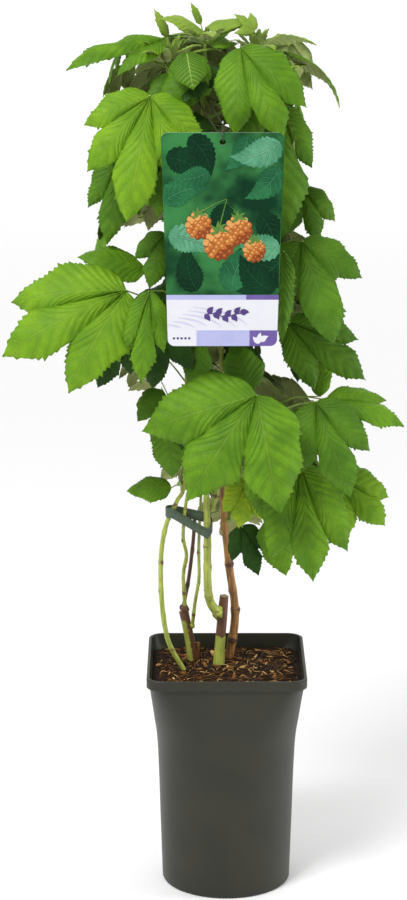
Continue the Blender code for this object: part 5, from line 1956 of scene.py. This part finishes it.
@dataclass
class HangTag:
    """The printed card: a picture of leaves and golden fruit over plain coloured bands, with no words."""

    top: float = 0.736
    height: float = 0.19
    top_width: float = 0.108
    foot_width: float = 0.097
    middle: float = -0.005
    corner: float = 0.006
    thickness: float = 0.0009
    face: float = -0.102
    hole: float = 0.0027
    hole_drop: float = 0.0085
    hole_steps: int = 24
    corner_steps: int = 8
    picture_share: float = 0.757
    strip_share: float = 0.78
    band_share: float = 0.925
    strip_block: float = 0.016
    foot_block: float = 0.019
    white_block: float = -0.028
    ink: float = 0.00008
    leaf_steps: int = 22
    leaf_width: float = 0.27
    finishes = {
        Print.CARD: tag_gloss("tag_card", (0.7, 0.7, 0.75), (0.66, 0.66, 0.72)),
        Print.PICTURE: PlainFinish("tag_picture", (0.003, 0.03, 0.012), (0.04, 0.2, 0.055), 24.0, 1.0, 0.5,
                                   500.0, 0.00002, specular=0.08),
        Print.STRIP: tag_gloss("tag_strip", (0.38, 0.4, 0.66), (0.44, 0.46, 0.7)),
        Print.BLOCK: tag_gloss("tag_block", (0.12, 0.075, 0.29), (0.15, 0.095, 0.34)),
    }
    leaf_inks = (
        leaf_ink("print_leaf_dark", (0.004, 0.044, 0.016), (0.002, 0.018, 0.008), (0.02, 0.11, 0.04)),
        leaf_ink("print_leaf", (0.026, 0.17, 0.06), (0.008, 0.07, 0.028), (0.09, 0.3, 0.15)),
        leaf_ink("print_leaf_pale", (0.13, 0.38, 0.22), (0.03, 0.17, 0.075), (0.28, 0.52, 0.38)),
    )
    plain_inks = (
        plain_ink("print_fruit_dark", (0.26, 0.062, 0.018), (0.2, 0.044, 0.014)),
        plain_ink("print_fruit", (0.47, 0.165, 0.035), (0.4, 0.12, 0.028)),
        plain_ink("print_fruit_pale", (0.69, 0.35, 0.11), (0.59, 0.27, 0.08)),
        plain_ink("print_stalk", (0.12, 0.24, 0.05), (0.08, 0.18, 0.04)),
        plain_ink("print_lavender", (0.54, 0.54, 0.7), (0.58, 0.58, 0.72), 70.0, 0.6),
        plain_ink("print_purple", (0.08, 0.05, 0.18), (0.1, 0.06, 0.22), 70.0, 0.6),
        plain_ink("print_white", (0.7, 0.7, 0.75), (0.66, 0.66, 0.72), 70.0, 0.6),
    )
    # The places of the inks above that the motifs use.
    stalk_ink = 3
    lavender_ink = 4
    purple_ink = 5
    white_ink = 6
    # Printed leaves: across from the card's middle and down from its top in mm, turn in degrees, length
    # in mm, and ink.
    printed_leaves = (
        (-30, 4, 300, 40, 0), (-50, 22, 332, 42, 0), (0, 62, 250, 38, 0), (32, 72, 290, 40, 0),
        (-22, 140, 100, 42, 0), (56, 108, 206, 62, 0), (26, 143, 92, 50, 0), (22, 3, 236, 36, 1),
        (50, 30, 222, 42, 1), (-52, 62, 18, 42, 1), (8, 141, 62, 48, 1), (46, 141, 132, 46, 0),
        (-12, 34, 188, 34, 1), (50, 8, 196, 46, 2), (-48, 92, 338, 44, 2), (51, 100, 168, 42, 2),
    )
    # Printed fruit: across and down in mm as above, and radius in mm.
    printed_fruit = ((-21, 82, 10.5), (14, 86, 11.0), (28, 104, 9.0), (-3, 98, 12.5))
    fruit_stalk_top = (4.0, 58.0)
    # A berry's rings of drupelets: how far out each lies, as a share of its radius, and how many it has.
    drupelets = ((0.92, 12), (0.62, 8), (0.3, 4), (0.0, 1))

    def outline(self) -> Ring:
        """The card's outline, anticlockwise from its lower right corner."""
        foot, top = self.foot_width / 2 - self.corner, self.top_width / 2 - self.corner
        low, high = self.top - self.height + self.corner, self.top - self.corner
        points = []
        for quarter, (x, z) in enumerate(((foot, low), (top, high), (-top, high), (-foot, low))):
            centre = Vector((self.middle + x, self.face, z))
            for step in range(self.corner_steps + 1):
                turn = math.pi / 2 * (quarter - 1 + step / self.corner_steps)
                points.append(centre + self.corner * upright(turn))
        return points

    def hole_ring(self) -> Ring:
        """The round hole near the card's top edge."""
        centre = Vector((self.middle, self.face, self.top - self.hole_drop))
        turns = (2 * math.pi * step / self.hole_steps for step in range(self.hole_steps))
        return [centre + self.hole * upright(turn) for turn in turns]

    def card(self) -> Mesh:
        """The card with its hole, its printed fields as faces of their own."""
        bm = bmesh.new()
        circle_through(bm, self.outline())
        circle_through(bm, self.hole_ring())
        bmesh.ops.triangle_fill(bm, use_beauty=True, edges=bm.edges)
        shares = (self.picture_share, self.strip_share, self.band_share)
        cuts = [((0, 0, self.top - share * self.height), UP) for share in shares]
        cuts += [((x, 0, 0), (1, 0, 0)) for x in (self.strip_block, self.foot_block, self.white_block)]
        for place, normal in cuts:
            whole = bm.verts[:] + bm.edges[:] + bm.faces[:]
            bmesh.ops.bisect_plane(bm, geom=whole, plane_co=place, plane_no=normal)
        face_front(bm)
        for face in bm.faces:
            face.material_index = self.field_at(face.calc_center_median()).value
        back = bmesh.ops.extrude_face_region(bm, geom=bm.faces[:], use_keep_orig=True)["geom"]
        back_verts = [item for item in back if isinstance(item, bmesh.types.BMVert)]
        bmesh.ops.translate(bm, verts=back_verts, vec=(0, self.thickness, 0))
        bmesh.ops.recalc_face_normals(bm, faces=bm.faces)
        for face in bm.faces:
            if face.normal.y > -0.5:
                face.material_index = Print.CARD.value
        return bm

    def field_at(self, point: Vector) -> Print:
        """Which printed field a point of the card's front lies in."""
        share = (self.top - point.z) / self.height
        if share < self.picture_share:
            return Print.PICTURE
        if share < self.strip_share:
            return Print.BLOCK if point.x > self.strip_block else Print.STRIP
        if share < self.band_share or point.x < self.white_block:
            return Print.CARD
        return Print.BLOCK if point.x > self.foot_block else Print.STRIP

    def build(self) -> None:
        """Builds the card and the motifs printed on it."""
        card = Piece("tag_card", [self.finishes[area].material() for area in Print])
        card.take(self.card())
        card.finish("tag_card", ["hang_tag"], 30)
        leaves = Piece("tag_leaves", [ink.material() for ink in self.leaf_inks])
        for number, (across, down, turn, length, ink) in enumerate(self.printed_leaves):
            self.print_leaf(leaves, self.spot(across, down), length / 1000, turn, 1 + number / 4, ink)
        leaves.finish("tag_card", ["hang_tag"])
        motifs = Piece("tag_motifs", [ink.material() for ink in self.plain_inks])
        for across, down, radius in self.printed_fruit:
            self.print_fruit(motifs, self.spot(across, down), radius / 1000)
        self.print_curves(motifs)
        self.print_sprig(motifs)
        self.print_foot(motifs)
        motifs.finish("tag_card", ["hang_tag"])

    def spot(self, across: float, down: float) -> Vector:
        """A place on the card, given in mm from its middle and from its top edge."""
        return Vector((self.middle + across / 1000, self.face, self.top - down / 1000))

    def ribbon(self, piece: Piece, line: Sequence[Vector], halves: Sequence[float], layer: float,
               ink: int) -> None:
        """Prints a flat shape along a line, kept inside the picture where it starts in it.

        Args:
            piece: the piece that it goes into.
            line: the shape's middle line.
            halves: its half width at each point of the line.
            layer: how many layers of ink it lies in front of the card.
            ink: its material slot.
        """
        steps = len(line) - 1
        bm = bmesh.new()
        surface = bm.loops.layers.uv.new("surface")
        grid = bmesh.ops.create_grid(bm, x_segments=4, y_segments=steps, size=1.0)["verts"]
        place = {vert: (vert.co.x, round((vert.co.y + 1) / 2 * steps)) for vert in grid}
        for loop in (loop for face in bm.faces for loop in face.loops):
            side, row = place[loop.vert]
            loop[surface].uv = (0.5 + 0.5 * side, (1 + row / steps - 0.2 * abs(side)) * 8 / MOST_VEINS)
        floor = self.top - self.picture_share * self.height + 0.0004
        for vert, (side, row) in place.items():
            along = line[min(row + 1, steps)] - line[max(row - 1, 0)]
            across = Vector((-along.z, 0.0, along.x)).normalized()
            point = line[row] + side * halves[row] * across
            if line[0].z > floor:
                grown = (point.z - self.top + self.height) / self.height * (self.top_width - self.foot_width)
                limit = (self.foot_width + grown) / 2 - 0.0006
                point.x = min(max(point.x, self.middle - limit), self.middle + limit)
                point.z = min(max(point.z, floor), self.top - 0.0008)
            point.y = self.face - layer * self.ink
            vert.co = point
        bmesh.ops.dissolve_degenerate(bm, dist=0.00002, edges=bm.edges)
        face_front(bm)
        piece.take(bm, ink)

    def print_leaf(self, piece: Piece, base: Vector, length: float, turn: float, layer: float, ink: int,
                   width: Optional[float] = None) -> None:
        """Prints a toothed leaf.

        Args:
            piece: the piece that it goes into.
            base: where its stalk would start.
            length: its length.
            turn: where it points, in degrees from the card's right.
            layer: how many layers of ink it lies in front of the card.
            ink: its material slot.
            width: its half width as a share of its length, if not the usual one.
        """
        steps = self.leaf_steps
        along = upright(math.radians(turn))
        bend = 0.12 * length * Vector((-along.z, 0, along.x))
        shares = [step / steps for step in range(steps + 1)]
        line = [base + t * length * along + 4 * t * (1 - t) * bend for t in shares]
        half = length * (width or self.leaf_width)
        halves = [half * outline(t) * (1.12 if step % 2 else 0.96) for step, t in enumerate(shares)]
        self.ribbon(piece, line, halves, layer, ink)

    def disc(self, piece: Piece, centre: Vector, radius: float, layer: float, ink: int) -> None:
        """Prints a round spot."""
        bm = bmesh.new()
        middle = Vector((centre.x, self.face - layer * self.ink, centre.z))
        place = Matrix.Translation(middle) @ Matrix.Rotation(math.pi / 2, 4, "X")
        bmesh.ops.create_circle(bm, cap_ends=True, segments=12, radius=radius, matrix=place)
        face_front(bm)
        piece.take(bm, ink)

    def print_fruit(self, piece: Piece, centre: Vector, radius: float) -> None:
        """Prints one berry of round drupelets, each with a light spot, and its stalk and calyx."""
        light = Vector((-0.5, 0.0, 0.86))
        top, end = centre + 1.05 * radius * UP, self.spot(*self.fruit_stalk_top)
        line = curve_through((top, top.lerp(end, 0.5) + 0.1 * radius * UP, end), 4)
        self.ribbon(piece, line, tapered(0.0006, 0.0003, len(line)), 5.2, self.stalk_ink)
        self.disc(piece, centre, 1.1 * radius, 5.6, 0)
        layer = 6.0
        for ring, count in self.drupelets:
            for step in range(count):
                out = ring * upright(2 * math.pi * (step + 2 * ring) / count)
                out.z *= 1.08
                lit = out.dot(light) + 0.15
                ink = 2 if lit > 0.55 else (1 if lit > -0.35 else 0)
                self.disc(piece, centre + radius * out, 0.235 * radius, layer, ink)
                spot = centre + radius * (out + 0.07 * light)
                self.disc(piece, spot, 0.09 * radius, layer + 0.3, min(ink + 1, 2))
                layer += 0.02
        base = centre + 0.95 * radius * UP
        for step in range(5):
            turn = 90 + 52 * (step - 2)
            self.print_leaf(piece, base, 0.75 * radius, turn, 8 + 0.1 * step, self.stalk_ink, 0.16)

    def print_curves(self, piece: Piece) -> None:
        """Prints the pale curves on the white band."""
        for number in range(6):
            centre = self.spot(-52 + 3 * number, 178)
            reach = 0.01 + 0.0045 * number
            turns = [math.radians(8 + 9 * step) for step in range(9)]
            oval = (Vector((1.9 * math.cos(turn), 0, 0.72 * math.sin(turn))) for turn in turns)
            line = [centre + reach * out for out in oval]
            line = [point for point in line if 146 < (self.top - point.z) * 1000 < 174]
            if len(line) > 2:
                halves = [0.0009 * math.sin(math.pi * (step + 0.5) / len(line)) for step in range(len(line))]
                self.ribbon(piece, line, halves, 1 + 0.2 * number, self.lavender_ink)

    def print_sprig(self, piece: Piece) -> None:
        """Prints the purple sprig on the white band."""
        stem = [self.spot(-16 + 4 * step, 162 - 1.6 * math.sin(step)) for step in range(9)]
        self.ribbon(piece, stem, [0.0005] * len(stem), 3, self.purple_ink)
        for number, point in enumerate(stem[:-1]):
            turn = 55 if number % 2 else -50
            self.print_leaf(piece, point, 0.0075, turn, 3.2 + 0.1 * number, self.purple_ink, 0.34)
        self.print_leaf(piece, stem[-1], 0.008, math.degrees(0.1), 4.2, self.purple_ink, 0.34)

    def print_foot(self, piece: Piece) -> None:
        """Prints the row of spots and the white leaves on the card's foot."""
        for number in range(5):
            self.disc(piece, self.spot(-43 + 3.4 * number, 183), 0.0011, 1.0, self.purple_ink)
        for number, turn in enumerate((35, 90, 145)):
            self.print_leaf(piece, self.spot(34, 186), 0.0085, turn, 1.5 + 0.3 * number, self.white_ink, 0.3)


@dataclass
class TagLoop:
    """The thin loop that the tag hangs by."""

    radius: float = 0.0008
    height: float = 0.758
    lead: float = 0.012
    before_card: float = 0.0035
    turn: float = 0.78
    dip: float = 0.001
    steps: int = 10
    sides: int = 10
    finish: PlainFinish = PlainFinish("loop_plastic", (0.03, 0.034, 0.018), (0.045, 0.045, 0.026),
                                      200.0, 0.5, 0.4)

    def build(self, cane: Cane, tag: HangTag) -> None:
        """Builds the loop: through the tag's hole, round the green cane's back and over the tag's edge."""
        hole = tag.top - tag.hole_drop + tag.hole - self.radius - GAP
        centre, radius, _ = cane.at(self.height)
        reach = radius + self.radius + GAP
        turn = self.turn * reach
        card = tag.face + tag.thickness / 2
        above = tag.top + self.radius + 4 * GAP
        behind_card, before_cane = card + self.lead, centre.y - self.lead
        path = (
            (tag.middle, tag.face - self.before_card, (hole + above) / 2),
            (tag.middle, card, hole),
            (tag.middle - 2 * self.dip, behind_card, hole + 2 * self.dip),
            (centre.x - reach - self.dip, before_cane, self.height - 6 * self.dip),
            (centre.x - turn, centre.y + turn, self.height - self.dip),
            (centre.x, centre.y + reach, self.height),
            (centre.x + turn, centre.y + turn, self.height - self.dip),
            (centre.x + reach + self.dip, before_cane, self.height - 4 * self.dip),
            (tag.middle, behind_card, above + 3 * self.dip),
            (tag.middle, card, above),
        )
        line = curve_through(path, self.steps, closed=True)
        rings = []
        for index, point in enumerate(line):
            along = (line[(index + 1) % len(line)] - line[index - 1]).normalized()
            turned = UP.rotation_difference(along)
            ring = (turned @ unit(360 * side / self.sides) for side in range(self.sides))
            rings.append([point + self.radius * direction for direction in ring])
        piece = Piece("loop_cord", [self.finish.material()])
        piece.take(skin(rings, cyclic=True))
        piece.finish("loop_plastic", ["tag_loop"])


@dataclass
class Studio:
    """The plain pale floor, the soft lights and the camera at the photograph's angle."""

    camera_place: tuple = (-0.0218, -2.46, 1.04)
    camera_dip: float = 14.03
    lens: float = 72.24
    sensor: float = 24.0
    floor_half: float = 30.0
    sky: float = 0.6
    finish: PlainFinish = PlainFinish("floor", (0.93, 0.93, 0.93), (0.91, 0.91, 0.91), 0.5, 0.5, 0.9)

    def build(self) -> None:
        """Builds the floor, the lights and the camera."""
        bm = bmesh.new()
        bmesh.ops.create_grid(bm, x_segments=1, y_segments=1, size=self.floor_half)
        mesh = bpy.data.meshes.new("floor")
        bm.to_mesh(mesh)
        bm.free()
        mesh.materials.append(self.finish.material())
        floor = bpy.data.objects.new("floor", mesh)
        bpy.context.scene.collection.objects.link(floor)
        world = bpy.data.worlds.new("studio")
        world.use_nodes = True
        sky = world.node_tree.nodes["Background"].inputs
        sky["Color"].default_value = (1.0, 1.0, 1.0, 1.0)
        sky["Strength"].default_value = self.sky
        bpy.context.scene.world = world
        bpy.context.scene.view_settings.view_transform = "Standard"
        self.light("key", (-1.0, -1.4, 2.5), (0.0, 0.0, 0.5), 0.9, 0.9, 54.0)
        self.light("left_strip", (-1.2, -0.3, 0.5), (0.0, 0.0, 0.3), 0.25, 1.2, 0.6)
        self.light("right_strip", (1.2, -0.2, 0.5), (0.0, 0.0, 0.3), 0.25, 1.2, 7.0)
        self.light("floor_fill", (0.0, 8.0, 4.0), (0.0, 8.0, 0.0), 16.0, 11.0, 400.0)
        self.place_camera()

    def light(self, name: str, place: tuple, target: tuple, width: float, height: float,
              power: float) -> None:
        """Adds a soft rectangular light.

        Args:
            name: its name.
            place: where it stands.
            target: the point that it faces.
            width: its width.
            height: its height.
            power: its power in watts.
        """
        data = bpy.data.lights.new(name, "AREA")
        data.shape = "RECTANGLE"
        data.size, data.size_y, data.energy = width, height, power
        lamp = bpy.data.objects.new(name, data)
        lamp.location = place
        lamp.rotation_euler = (Vector(target) - Vector(place)).to_track_quat("-Z", "Y").to_euler()
        bpy.context.scene.collection.objects.link(lamp)

    def place_camera(self) -> None:
        """Places the camera."""
        data = bpy.data.cameras.new("camera")
        data.sensor_fit = "VERTICAL"
        data.sensor_height = self.sensor
        data.lens = self.lens
        camera = bpy.data.objects.new("camera", data)
        camera.location = self.camera_place
        camera.rotation_euler = (math.pi / 2 - math.radians(self.camera_dip), 0.0, 0.0)
        bpy.context.scene.collection.objects.link(camera)
        bpy.context.scene.camera = camera


def main() -> None:
    """Builds the whole scene."""
    logging.basicConfig(level=logging.INFO, format="%(message)s")
    Groups.build()
    Studio().build()
    canes = {limb.name: Cane(limb) for limb in LIMBS}
    pot = Pot()
    pot.build()
    Compost(pot).build()
    Canes().build(canes)
    Tie().build(canes)
    tag = HangTag()
    tag.build()
    TagLoop().build(canes["green_cane"], tag)
    Foliage(Growth(canes).grow())


if __name__ == "__main__":
    main()
